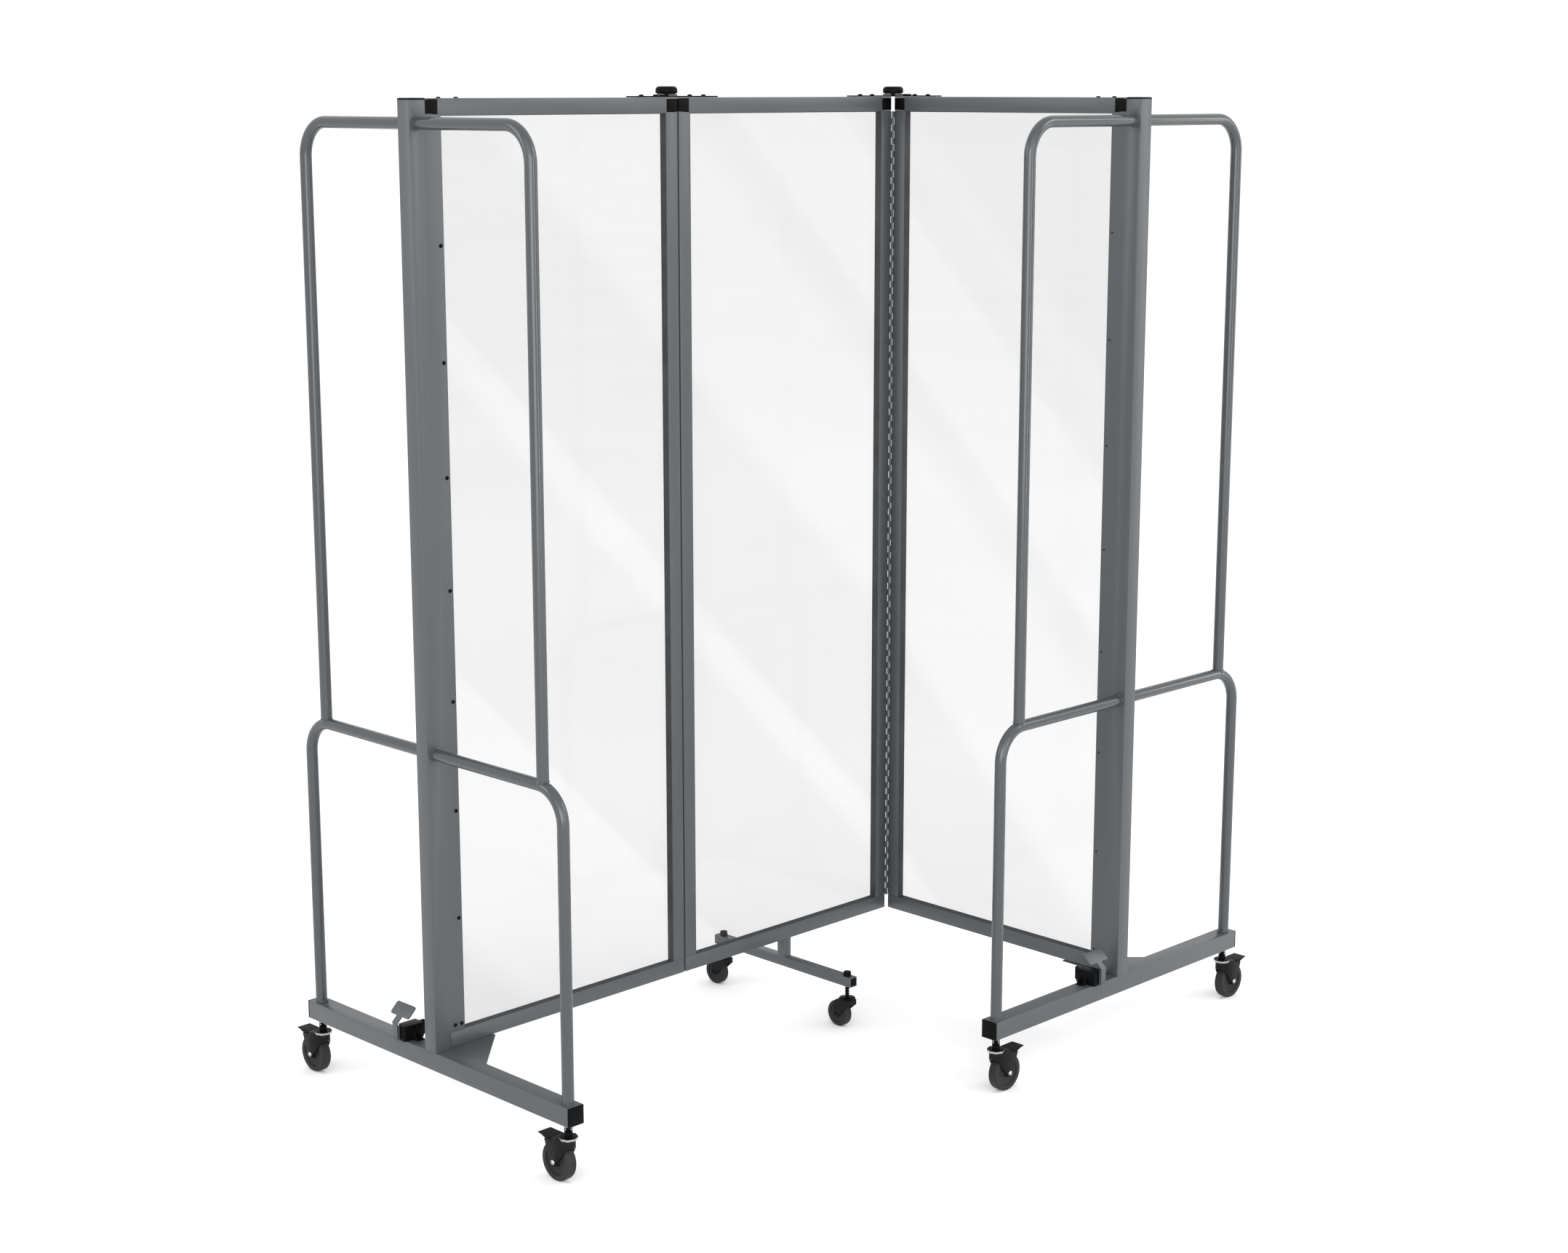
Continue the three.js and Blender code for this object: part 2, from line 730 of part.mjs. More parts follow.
// The pedal's neck and foot plate, sloping inward from the top of the leg.
function pedalPlate(outward, face, bend) {
  const neck = pedalNeckWidth / 2;
  const half = pedalPlateWidth / 2;
  const end = pedalNeckLength + pedalPlateLength;
  const plan = new THREE.Shape();
  plan.moveTo(-neck, -pedalSheet / 2);
  plan.lineTo(neck, -pedalSheet / 2);
  plan.lineTo(neck, pedalNeckLength);
  plan.lineTo(half - pedalPlateCorner, pedalNeckLength);
  plan.quadraticCurveTo(half, pedalNeckLength, half, pedalNeckLength + pedalPlateCorner);
  plan.lineTo(half, end - pedalPlateCorner);
  plan.quadraticCurveTo(half, end, half - pedalPlateCorner, end);
  plan.lineTo(pedalPlateCorner - half, end);
  plan.quadraticCurveTo(-half, end, -half, end - pedalPlateCorner);
  plan.lineTo(-half, pedalNeckLength + pedalPlateCorner);
  plan.quadraticCurveTo(-half, pedalNeckLength, pedalPlateCorner - half, pedalNeckLength);
  plan.lineTo(-neck, pedalNeckLength);
  const settings = { depth: pedalSheet, bevelEnabled: false, curveSegments: outlineSteps };
  const plate = new THREE.ExtrudeGeometry(plan, settings)
    .translate(0, 0, -pedalSheet)
    .rotateZ(outward * (Math.PI / 2))
    .rotateY(outward * pedalSlope)
    .translate(outward * face, pedalLegOffset, bend);
  return solid(plate);
}

// The fixed part of an end caster: a ribbed stem in the beam, a flared collar and a nut.
// Heights count from the underside of the beam.
function endStem(c) {
  const points = [[0, c.stemSocket], [c.stemRibRadius, c.stemSocket], [c.stemRibRadius, 0]];
  points.push(...stemRibs(c));
  points.push([c.stemRadius, -c.stemRun], [c.collarRadius, -c.stemRun - c.collarHeight]);
  points.push([0, -c.stemRun - c.collarHeight]);
  const nutLow = -c.stemRun - c.collarHeight - c.nutHeight;
  const nut = rodZ(c.nutRadius, [nutLow, -c.stemRun - c.collarHeight / 2], c.nutSides);
  const spigotLow = nutLow - fitGap - c.crownHeight * spigotShare;
  return join(turned(points, stemSides), nut, rodZ(c.spigotRadius, [spigotLow, nutLow + fitGap], stemSides));
}

// The fixed part of a middle-foot caster: its stem goes through the foot to a domed nut on top.
function footStem(c) {
  const top = footTube + fitGap;
  const domeTop = top + c.nutHeight;
  const points = [[0, domeTop], [c.nutRadius * nutCrownShare, domeTop]];
  points.push([c.nutRadius, domeTop - c.nutRadius * nutEdgeShare], [c.nutRadius, top]);
  points.push([c.stemRadius, top], ...stemRibs(c));
  points.push([c.stemRadius, -c.stemRun], [c.collarRadius, -c.stemRun]);
  points.push([c.collarRadius, -c.stemRun - c.collarHeight], [0, -c.stemRun - c.collarHeight]);
  const discLow = -c.stemRun - c.collarHeight;
  const spigotLow = discLow - fitGap - c.crownHeight * spigotShare;
  return join(turned(points, stemSides), rodZ(c.spigotRadius, [spigotLow, discLow + fitGap], stemSides));
}

// The ribs of a stem, from the underside of the beam down to the end of its run.
function stemRibs(c) {
  const points = [[c.stemRadius, 0]];
  const pitch = c.stemRun / (c.stemRibs + 1);
  for (let rib = 1; rib <= c.stemRibs; rib += 1) {
    points.push([c.stemRadius, (1 / 2 - rib) * pitch], [c.stemRibRadius, -rib * pitch]);
  }
  points.push([c.stemRadius, (-1 / 2 - c.stemRibs) * pitch]);
  return points;
}

// The top of a fork, below the underside of its beam.
function forkTop(c) {
  const head = c === endCaster ? c.collarHeight + c.nutHeight : c.collarHeight;
  return -c.stemRun - head - fitGap;
}

// The fork: a hood with a round nose, cut to its side view and hollowed for the wheel, with its axle.
// It trails towards +Y, and heights count from the underside of the beam.
function fork(c, leverRoom) {
  const top = forkTop(c);
  const axleZ = c.wheelRadius - c.height;
  const place = ([y, z]) => [c.trail + y * c.wheelRadius, axleZ + z * c.wheelRadius];
  const back = forkBackShares.map(place);
  const front = forkFrontShares.map(place);
  const backTop = leverRoom ? leverRoom(back[0][0]) : top - c.crownHeight * backLipShare;
  const heel = leverRoom ? leverRoom(c.crownBack) : backTop;
  const points = [[-c.noseReach, top], [c.crownBack, top], [c.crownBack, heel]];
  points.push([back[0][0], Math.max(backTop, back[0][1])], back[1]);
  for (let step = 0; step <= outlineSteps; step += 1) {
    const angle = -Math.PI * (step / outlineSteps);
    points.push([c.trail + c.forkBoss * Math.cos(angle), axleZ + c.forkBoss * Math.sin(angle)]);
  }
  points.push(...front, [-c.noseReach, axleZ + forkArchShare * c.wheelRadius]);
  const side = slabX(outline(points), [-c.forkHalfWidth, c.forkHalfWidth]);
  const plan = noseOutline(c, 0, back[0][0] + cutOverrun);
  const hollowPlan = noseOutline(c, c.forkWall, back[0][0] + 2 * cutOverrun);
  const low = -c.height;
  const hood = side.intersect(slabZ(plan, [low, 0], 2 * outlineSteps));
  const hollow = slabZ(hollowPlan, [low, top - c.crownHeight], 2 * outlineSteps);
  const inner = c.forkHalfWidth - c.forkWall;
  const room = block([-inner, inner], [c.crownBack, back[0][0] + cutOverrun], [low, 0]);
  const socket = rodZ(c.spigotRadius + fitGap, [top - c.crownHeight - cutOverrun, 0], stemSides);
  const axle = rodX(c.axleRadius, [-inner - fitGap, inner + fitGap], stemSides, c.trail, axleZ);
  return join(cut(hood, hollow, room, socket), axle);
}

// A fork seen from above: straight sides, a half-oval nose, drawn in by a wall.
function noseOutline(c, wall, backY) {
  const half = c.forkHalfWidth - wall;
  const shoulder = c.forkHalfWidth / 2;
  const reach = shoulder + c.noseReach - wall;
  const plan = new THREE.Shape();
  plan.moveTo(half, backY);
  plan.lineTo(-half, backY);
  plan.lineTo(-half, shoulder);
  plan.absellipse(0, shoulder, half, reach, Math.PI, Math.PI * 2);
  plan.lineTo(half, backY);
  return plan;
}

// A wheel about X, centred on its axle: round-edged tread, sunk web and a hub with its bore.
function wheel(c) {
  const half = c.tread / 2;
  const rim = c.wheelRadius - c.rimWidth - c.treadEdge;
  const web = c.webThickness / 2;
  const hub = c.hubLength / 2;
  const bore = c.axleRadius + fitGap;
  const rightSide = [[bore, hub], [c.hubRadius, hub], [c.hubRadius + hub - web, web], [rim - web, web]];
  rightSide.push([rim, half], [c.wheelRadius - c.treadEdge, half]);
  for (let step = 1; step <= treadSteps; step += 1) {
    const angle = (step / treadSteps) * (Math.PI / 2);
    const radius = c.wheelRadius - c.treadEdge + c.treadEdge * Math.sin(angle);
    rightSide.push([radius, half - c.treadEdge + c.treadEdge * Math.cos(angle)]);
  }
  const leftSide = rightSide.map(([radius, across]) => [radius, -across]).reverse();
  const points = [...rightSide, ...leftSide, rightSide[0]];
  const profile = points.map(([radius, across]) => new THREE.Vector2(radius, across));
  return solid(new THREE.LatheGeometry(profile, wheelSides).rotateZ(Math.PI / 2));
}

// Where an end caster's brake lever turns, from the stem's axis at the underside of the beam.
function leverPivot(c) {
  const y = c.crownBack + leverGap + leverPinInset;
  return [y, forkTop(c) - leverSink - leverThickness - leverPinRadius];
}

// The highest that the fork's cheeks may be under the pressed lever.
function leverRoom(y) {
  const [pivotY] = leverPivot(endCaster);
  const underside = forkTop(endCaster) - leverSink - leverThickness - 2 * fitGap;
  return underside - Math.max(0, y - pivotY) * Math.tan(leverPress);
}

// The brake lever, with y and z from its pivot: a flat plate that thickens behind the hood.
function brakeLever(c) {
  const [pivotY] = leverPivot(c);
  const top = leverThickness + leverPinRadius;
  const start = -leverPinInset;
  const end = start + leverLength;
  const behind = c.trail + forkBackShares[0][0] * c.wheelRadius - pivotY + leverGap;
  const plate = outline([
    [start, top],
    [end, top],
    [end, top - leverTip],
    [behind + leverHeelRun / 2, top - leverThickness],
    [behind, top - leverHeel],
    [behind, leverPinRadius],
    [start, leverPinRadius],
  ]);
  const inner = c.forkHalfWidth - c.forkWall - fitGap;
  const pin = rodX(leverPinRadius + fitGap, [-inner, inner], stemSides);
  return join(slabX(plate, [-leverHalfWidth, leverHalfWidth]), pin);
}

// Adds a caster under a beam: its stem rides with the beam, and fork, wheel and lever have pivots.
function caster(group, name, c, x, y, beamLow) {
  const seat = pivot(group, name + "_seat", x, y, beamLow);
  const braked = c === endCaster;
  piece(seat, name + "_stem", braked ? endStem(c) : footStem(c), braked ? steel : black);
  const swivel = pivot(seat, name + "_swivel", 0, 0, 0);
  piece(swivel, name + "_fork", fork(c, braked ? leverRoom : null), black);
  const axle = pivot(swivel, name + "_wheel_turn", 0, c.trail, c.wheelRadius - c.height);
  piece(axle, name + "_wheel", wheel(c), tyre);
  if (braked) {
    const [leverY, leverZ] = leverPivot(c);
    piece(pivot(swivel, name + "_brake_press", 0, leverY, leverZ), name + "_brake_lever", brakeLever(c), black);
  }
}

// The end of the screen beyond a side panel: post, beam, hoops, latch and casters.
function endFrame(group, name, outward, gussetSide, latchSide) {
  const edge = outward * (panelGap / 2 + panelWidth);
  const centre = outward * beamCentre;
  const mid = outward > 0 ? hingeAxisSide : -hingeAxisSide;
  const frame = pivot(group, name + "_end", 0, mid, 0);
  piece(frame, name + "_end_post", endPost(outward, edge), slate);
  piece(frame, name + "_base_beam", baseBeam(outward, edge, gussetSide), slate);
  piece(frame, name + "_beam_front_cap", beamCap(outward, edge, -1), black);
  piece(frame, name + "_beam_back_cap", beamCap(outward, edge, 1), black);
  const hoops = pivot(frame, name + "_hoops", centre, 0, 0);
  piece(hoops, name + "_guard_hoops", guardHoops(), slate);
  const latch = pivot(frame, name + "_latch", outward * outerFace, latchSide * latchOffset, beamTop);
  piece(latch, name + "_latch_housing", latchHousing(outward), black);
  const press = pivot(latch, name + "_pedal_press", outward * pedalPivotOut, 0, pedalPivotUp);
  piece(press, name + "_latch_pedal", pedal(outward), slate);
  const stemY = beamLength / 2 - endCaster.stemInset;
  caster(frame, name + "_front_caster", endCaster, centre, -stemY, beamTop - beamSize);
  caster(frame, name + "_back_caster", endCaster, centre, stemY, beamTop - beamSize);
}

// A side panel about its hinge axis, with its half of the hinge and its end frame.
function sidePanel(group, name, outward, gussetSide, latchSide) {
  const back = outward > 0 ? 1 : -1;
  const inner = outward * (panelGap / 2);
  const outer = outward * (panelGap / 2 + panelWidth);
  const body = pivot(group, name + "_panel_mid_plane", 0, back * hingeAxisSide, 0);
  panel(body, name + "_panel", outward > 0 ? [inner, outer] : [outer, inner]);
  piece(group, name + "_hinge_outer_leaf", hingeLeaf(outward, back, false), slate);
  piece(group, name + "_hinge_outer_top_plate", topPlate(outward, back, true), black);
  endFrame(group, name, outward, gussetSide, latchSide);
}

function middlePanel(group) {
  panel(group, "middle_panel", [-halfPanel, halfPanel]);
  piece(group, "middle_foot", middleFoot(), slate);
  const stemY = footLength / 2 - footCaster.stemInset;
  const footLow = footTop - footTube;
  caster(group, "middle_front_caster", footCaster, 0, -stemY, footLow);
  caster(group, "middle_back_caster", footCaster, 0, stemY, footLow);
}

// A hinge axis on the middle panel, with the middle panel's leaf, its pin and plate, and the knob.
function hinge(group, name, outward) {
  const back = outward > 0 ? 1 : -1;
  const axis = pivot(group, name + "_hinge_axis", outward * hingeAxisOut, -back * hingeAxisSide, 0);
  piece(axis, name + "_hinge_inner_leaf", hingeLeaf(-outward, back, true), slate);
  piece(axis, name + "_hinge_inner_top_plate", topPlate(-outward, back, false), black);
  piece(pivot(axis, name + "_knob_turn", 0, 0, 0), name + "_fold_knob", foldKnob(), black);
  return axis;
}

const standing = new THREE.Group();
middlePanel(standing);
const leftFoldPivot = pivot(hinge(standing, "left", -1), "left_panel_fold", 0, 0, 0);
sidePanel(leftFoldPivot, "left", -1, -1, 1);
const rightFoldPivot = pivot(hinge(standing, "right", 1), "right_panel_fold", 0, 0, 0);
sidePanel(rightFoldPivot, "right", 1, 1, -1);
rightFoldPivot.rotation.z = rightFold;

const screen = new THREE.Group();
screen.add(standing);
standing.updateMatrixWorld(true);
const extent = new THREE.Box3().setFromObject(standing, true);
const middle = extent.getCenter(new THREE.Vector3());
standing.position.set(-middle.x, -middle.y, -extent.min.z);

export default screen;
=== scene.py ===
import json
import math

import bmesh
import bpy
from bpy.props import FloatProperty, FloatVectorProperty, IntProperty, PointerProperty
from mathutils import Matrix, Vector


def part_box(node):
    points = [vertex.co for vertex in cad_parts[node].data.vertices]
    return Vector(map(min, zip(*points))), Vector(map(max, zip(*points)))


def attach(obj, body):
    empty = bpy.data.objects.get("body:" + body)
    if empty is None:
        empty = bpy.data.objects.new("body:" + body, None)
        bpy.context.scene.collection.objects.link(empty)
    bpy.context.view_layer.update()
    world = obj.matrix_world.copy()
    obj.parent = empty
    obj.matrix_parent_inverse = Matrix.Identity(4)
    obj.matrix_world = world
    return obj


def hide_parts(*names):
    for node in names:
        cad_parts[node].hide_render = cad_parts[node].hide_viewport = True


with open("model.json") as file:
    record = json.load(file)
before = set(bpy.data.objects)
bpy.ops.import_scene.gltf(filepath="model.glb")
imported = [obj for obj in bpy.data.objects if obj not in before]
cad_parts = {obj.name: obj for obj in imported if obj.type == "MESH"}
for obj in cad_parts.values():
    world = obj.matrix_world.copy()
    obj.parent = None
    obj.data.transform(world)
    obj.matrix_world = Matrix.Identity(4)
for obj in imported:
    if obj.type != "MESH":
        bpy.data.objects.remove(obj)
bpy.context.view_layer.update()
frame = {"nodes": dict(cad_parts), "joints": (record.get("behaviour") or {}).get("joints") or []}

bl_info = {
    "name": "Folding screen on casters",
    "version": (1, 0, 0),
    "blender": (4, 5, 0),
    "location": "View3D > Sidebar > Screen",
    "description": "Dresses the frame of a three-panel folding screen with its finished pieces",
    "category": "Object",
}

NODES = frame["nodes"]
JOINTS = {joint["name"]: joint for joint in frame["joints"]}
PANELS = ("left", "middle", "right")
ENDS = ("left", "right")
SIDES = ("front", "back")
UP = Vector((0, 0, 1))
FULL_TURN = 2 * math.pi


# Benches: the frame that each part of the screen is built in


def bench_matrix(out, back, origin):
    """A bench with +X out, +Y to the back and +Z up, as a matrix into the row frame."""
    columns = [Vector(out), Vector(back), UP, Vector(origin)]
    return Matrix([[column[row] for column in columns] for row in range(3)] + [[0, 0, 0, 1]])


def panel_bench(name):
    """A panel's bench: X counts from its hinge axis or its middle, and Y from its mid-plane."""
    low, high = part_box(name + "_panel_frame")
    middle = (low + high) / 2
    out, back = {
        "left": (Vector((-1, 0, 0)), Vector((0, 1, 0))),
        "middle": (Vector((1, 0, 0)), Vector((0, 1, 0))),
        "right": (Vector((0, -1, 0)), Vector((1, 0, 0))),
    }[name]
    if name == "middle":
        origin = middle
    else:
        axis = Vector(JOINTS[name + "_panel_fold"]["pos_m"])
        origin = middle + out * (axis - middle).dot(out)
    return bench_matrix(out, back, (origin.x, origin.y, 0))


BENCHES = {name: panel_bench(name) for name in PANELS}


def bench_box(name, node):
    """The lowest and highest corners of a CAD node on a bench."""
    if node not in NODES:
        raise RuntimeError("The frame has no node " + node)
    inverse = BENCHES[name].inverted()
    a, b = (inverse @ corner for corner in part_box(node))
    low = Vector([min(a[i], b[i]) for i in range(3)])
    high = Vector([max(a[i], b[i]) for i in range(3)])
    return low, high


def on_bench(name, point):
    """A point of the row frame, on a bench."""
    return BENCHES[name].inverted() @ Vector(point)


# Settings


class ScreenFinish(bpy.types.PropertyGroup):
    """Colours of the screen's finishes."""

    slate: FloatVectorProperty(
        name="Frame paint", description="Slate-grey powder coat on frames, posts, beams and hoops",
        default=(0.0500, 0.0552, 0.0595), subtype="COLOR", min=0, max=1,
    )
    liner: FloatVectorProperty(
        name="Pane liner", description="Dark liner round the inside of each frame",
        default=(0.040, 0.041, 0.043), subtype="COLOR", min=0, max=1,
    )
    black: FloatVectorProperty(
        name="Black plastic", description="Knobs, corner blocks, caps and latch housings",
        default=(0.0030, 0.0030, 0.0031), subtype="COLOR", min=0, max=1,
    )
    hood: FloatVectorProperty(
        name="Caster plastic", description="Hoods, brake levers and wheel cores of the casters",
        default=(0.0085, 0.0085, 0.0087), subtype="COLOR", min=0, max=1,
    )
    tread: FloatVectorProperty(
        name="Wheel tread", description="Dark grey rubber of the wheels",
        default=(0.0140, 0.0140, 0.0142), subtype="COLOR", min=0, max=1,
    )
    steel: FloatVectorProperty(
        name="Bright steel", description="Zinc-plated nuts and bolts",
        default=(0.46, 0.465, 0.47), subtype="COLOR", min=0, max=1,
    )
    pane: FloatVectorProperty(
        name="Pane", description="Clear acrylic sheet",
        default=(0.06, 0.063, 0.066), subtype="COLOR", min=0, max=1,
    )


class ScreenSizes(bpy.types.PropertyGroup):
    """Sizes of the details that the frame leaves open."""

    tube_edge: FloatProperty(
        name="Tube edge", description="Edge radius of the square tubes",
        default=0.0012, unit="LENGTH",
    )
    sheet_edge: FloatProperty(
        name="Sheet edge", description="Edge radius of sheet parts",
        default=0.0004, unit="LENGTH",
    )
    liner_thickness: FloatProperty(
        name="Liner", description="Thickness of the liner in the frames",
        default=0.0007, unit="LENGTH",
    )
    stile: FloatProperty(
        name="Stile", description="Width of a frame's upright tube",
        default=0.028, unit="LENGTH",
    )
    rail: FloatProperty(
        name="Rail", description="Height of a frame's rail",
        default=0.028, unit="LENGTH",
    )
    rear_width: FloatProperty(
        name="Rear width", description="Width of a frame's tube behind the pane",
        default=0.015, unit="LENGTH",
    )
    hoop_bar: FloatProperty(
        name="Low hoop's bar", description="Height of the low hoop's bar over a panel's foot",
        default=0.540, unit="LENGTH",
    )
    hoop_bend: FloatProperty(
        name="Hoop bend", description="Radius of a hoop's corners, to the middle of its tube",
        default=0.060, unit="LENGTH",
    )
    tall_hoop_inset: FloatProperty(
        name="Tall hoop inset", description="From a beam's end in to the tall hoop",
        default=0.0698, unit="LENGTH",
    )
    knuckle_pitch: FloatProperty(
        name="Knuckle", description="Length of one hinge knuckle",
        default=0.0127, unit="LENGTH",
    )
    knuckle_radius: FloatProperty(
        name="Knuckle radius", description="Outer radius of the hinge barrel",
        default=0.00225, unit="LENGTH",
    )
    pin_radius: FloatProperty(
        name="Pin radius", description="Radius of the hinge pin",
        default=0.0009, unit="LENGTH",
    )
    leaf_sheet: FloatProperty(
        name="Leaf sheet", description="Thickness of a hinge leaf",
        default=0.0009, unit="LENGTH",
    )
    notch_depth: FloatProperty(
        name="Leaf notch", description="Depth of a leaf's notches at the other's knuckles",
        default=0.0013, unit="LENGTH",
    )
    leaf_gap: FloatProperty(
        name="Gap", description="Gap beside a hinge leaf, a corner block and a post cap",
        default=0.0003, unit="LENGTH",
    )
    screw_radius: FloatProperty(
        name="Screw head", description="Radius of a screw head on the posts",
        default=0.0036, unit="LENGTH",
    )
    screw_pitch: FloatProperty(
        name="Screw pitch", description="Height between the post's screws",
        default=0.1955, unit="LENGTH",
    )
    screw_rows: IntProperty(
        name="Screw rows", description="Screws up each post", default=8, min=1,
    )


# Materials


def new_material(name):
    """A material with its Principled node, and an Object coordinate to drive patterns."""
    material = bpy.data.materials.new(name)
    material.use_nodes = True
    nodes = material.node_tree.nodes
    shader = nodes["Principled BSDF"]
    place = nodes.new("ShaderNodeTexCoord")
    return material, shader, place.outputs["Object"]


def pattern(material, vector, scale, detail=2.0, roughness=0.5, stretch=(1, 1, 1)):
    """A noise pattern on Object coordinates, stretched along the axes."""
    nodes, links = material.node_tree.nodes, material.node_tree.links
    mapping = nodes.new("ShaderNodeMapping")
    mapping.inputs["Scale"].default_value = stretch
    noise = nodes.new("ShaderNodeTexNoise")
    noise.inputs["Scale"].default_value = scale
    noise.inputs["Detail"].default_value = detail
    noise.inputs["Roughness"].default_value = roughness
    links.new(vector, mapping.inputs["Vector"])
    links.new(mapping.outputs["Vector"], noise.inputs["Vector"])
    return noise.outputs["Fac"]


def spread(owner, factor, low, high, start=0.3, stop=0.7, kind="LINEAR"):
    """A factor from start to stop, spread from low to high, in a material or a world."""
    span = owner.node_tree.nodes.new("ShaderNodeMapRange")
    span.interpolation_type = kind
    span.inputs["From Min"].default_value = start
    span.inputs["From Max"].default_value = stop
    span.inputs["To Min"].default_value = low
    span.inputs["To Max"].default_value = high
    owner.node_tree.links.new(factor, span.inputs["Value"])
    return span.outputs["Result"]


def tinted(material, factor, dark, light):
    """A colour between two tints, along a factor."""
    nodes, links = material.node_tree.nodes, material.node_tree.links
    ramp = nodes.new("ShaderNodeValToRGB")
    ramp.color_ramp.elements[0].position = 0.3
    ramp.color_ramp.elements[1].position = 0.7
    ramp.color_ramp.elements[0].color = (*dark, 1)
    ramp.color_ramp.elements[1].color = (*light, 1)
    links.new(factor, ramp.inputs["Fac"])
    return ramp.outputs["Color"]


def bumped(material, shader, factor, strength, distance):
    """A bump from a factor, into the shader's normal."""
    nodes, links = material.node_tree.nodes, material.node_tree.links
    bump = nodes.new("ShaderNodeBump")
    bump.inputs["Strength"].default_value = strength
    bump.inputs["Distance"].default_value = distance
    links.new(factor, bump.inputs["Height"])
    links.new(bump.outputs["Normal"], shader.inputs["Normal"])


def shade(colour, share):
    """A colour made darker or lighter by a share."""
    return tuple(min(1.0, channel * share) for channel in colour)


def skin(name, colour, slow, shares, fine, roughness, bump, **levels):
    """A procedural finish.

    The tint changes slowly between two shares of the colour, and roughness and bump follow a
    fine grain. slow and fine are the settings of those two patterns, and levels are constants
    for the shader's own sockets.
    """
    material, shader, place = new_material(name)
    links = material.node_tree.links
    drift = pattern(material, place, *slow)
    tint = tinted(material, drift, *[shade(colour, share) for share in shares])
    links.new(tint, shader.inputs["Base Color"])
    grain = pattern(material, place, *fine)
    links.new(spread(material, grain, *roughness), shader.inputs["Roughness"])
    bumped(material, shader, grain, *bump)
    for socket, level in levels.items():
        shader.inputs[socket.replace("_", " ")].default_value = level
    return material


def powder_coat(name, colour, roughness):
    """Powder coat: a slight orange-peel skin and a slow change of tint."""
    return skin(name, colour, (2.2, 3.0), (0.95, 1.05), (900.0, 2.0, 0.6),
                (roughness - 0.03, roughness + 0.03), (0.02, 0.00008), Metallic=0.0)


def moulded_plastic(name, colour, roughness=0.38, gloss=0.045):
    """Black moulded plastic with a fine spark-eroded grain."""
    return skin(name, colour, (14.0,), (0.85, 1.2), (1500.0, 2.0, 0.55),
                (roughness - 0.06, roughness + 0.08), (0.10, 0.00008), Specular_IOR_Level=gloss)


def coated_steel(name, colour):
    """Black coated sheet steel, smoother than the plastic."""
    return skin(name, colour, (9.0, 3.0), (0.85, 1.25), (800.0, 3.0),
                (0.34, 0.46), (0.08, 0.00010), Specular_IOR_Level=0.04)


def plated_steel(name, colour):
    """Bright zinc-plated steel with faint turning marks."""
    return skin(name, colour, (120.0, 3.0), (0.88, 1.08), (900.0, 2.0, 0.5, (0.2, 0.2, 3.0)),
                (0.20, 0.34), (0.05, 0.00008), Metallic=1.0)


def wheel_rubber(name, colour):
    """Dark rubber with a matt, slightly dusty skin."""
    return skin(name, colour, (30.0, 4.0), (0.8, 1.25), (1100.0, 3.0),
                (0.48, 0.64), (0.14, 0.00012), Specular_IOR_Level=0.2)


# Painted glare: slanting stripes in which the clear sheet is a little less clear.
GLARE_BAND_SLANT = (0.577, -0.577, 0.577)
GLARE_BAND_SCALE = 3.4
GLARE_BAND_EDGES = (0.46, 0.52)
GLARE_BAND_VEIL = 0.030
# The sheet's own grey tint, thickened low down as painted shade: the first amount below the first
# height, the second over the other.
TINT_AND_SHADE_VEILS = (0.150, 0.125)
SHADE_VEIL_HEIGHTS = (0.80, 1.05)


def clear_sheet(name, colour):
    """Clear acrylic sheet: a thin grey film, with painted glare in soft slanting stripes and
    painted shade that thickens the film towards the bottom.

    Each of its two faces hides TINT_AND_SHADE_VEILS of what is behind it, the first number below
    the first of SHADE_VEIL_HEIGHTS and the second over the other, and up to GLARE_BAND_VEIL more in
    the painted glare stripes.
    """
    material, shader, place = new_material(name)
    nodes, links = material.node_tree.nodes, material.node_tree.links
    # Painted glare stripes, along a slant across the sheet.
    slant = nodes.new("ShaderNodeVectorMath")
    slant.operation = "DOT_PRODUCT"
    slant.inputs[1].default_value = GLARE_BAND_SLANT
    links.new(place, slant.inputs[0])
    glare_streak = nodes.new("ShaderNodeTexNoise")
    glare_streak.noise_dimensions = "1D"
    glare_streak.inputs["Scale"].default_value = GLARE_BAND_SCALE
    glare_streak.inputs["Detail"].default_value = 1.0
    links.new(slant.outputs["Value"], glare_streak.inputs["W"])
    glare_mask = spread(material, glare_streak.outputs["Fac"], 0.0, 1.0, *GLARE_BAND_EDGES)
    split = nodes.new("ShaderNodeSeparateXYZ")
    links.new(place, split.inputs[0])
    alpha_with_painted_light = nodes.new("ShaderNodeMath")
    alpha_with_painted_light.operation = "MULTIPLY_ADD"
    links.new(glare_mask, alpha_with_painted_light.inputs[0])
    alpha_with_painted_light.inputs[1].default_value = GLARE_BAND_VEIL
    # Painted shade: the sheet hides more of what is behind it towards the bottom.
    links.new(spread(material, split.outputs["Z"], *TINT_AND_SHADE_VEILS, *SHADE_VEIL_HEIGHTS), alpha_with_painted_light.inputs[2])
    links.new(alpha_with_painted_light.outputs["Value"], shader.inputs["Alpha"])
    slow = pattern(material, place, 1.3)
    tint = tinted(material, slow, shade(colour, 0.97), shade(colour, 1.03))
    links.new(tint, shader.inputs["Base Color"])
    shader.inputs["Roughness"].default_value = 0.03
    shader.inputs["IOR"].default_value = 1.49
    return material


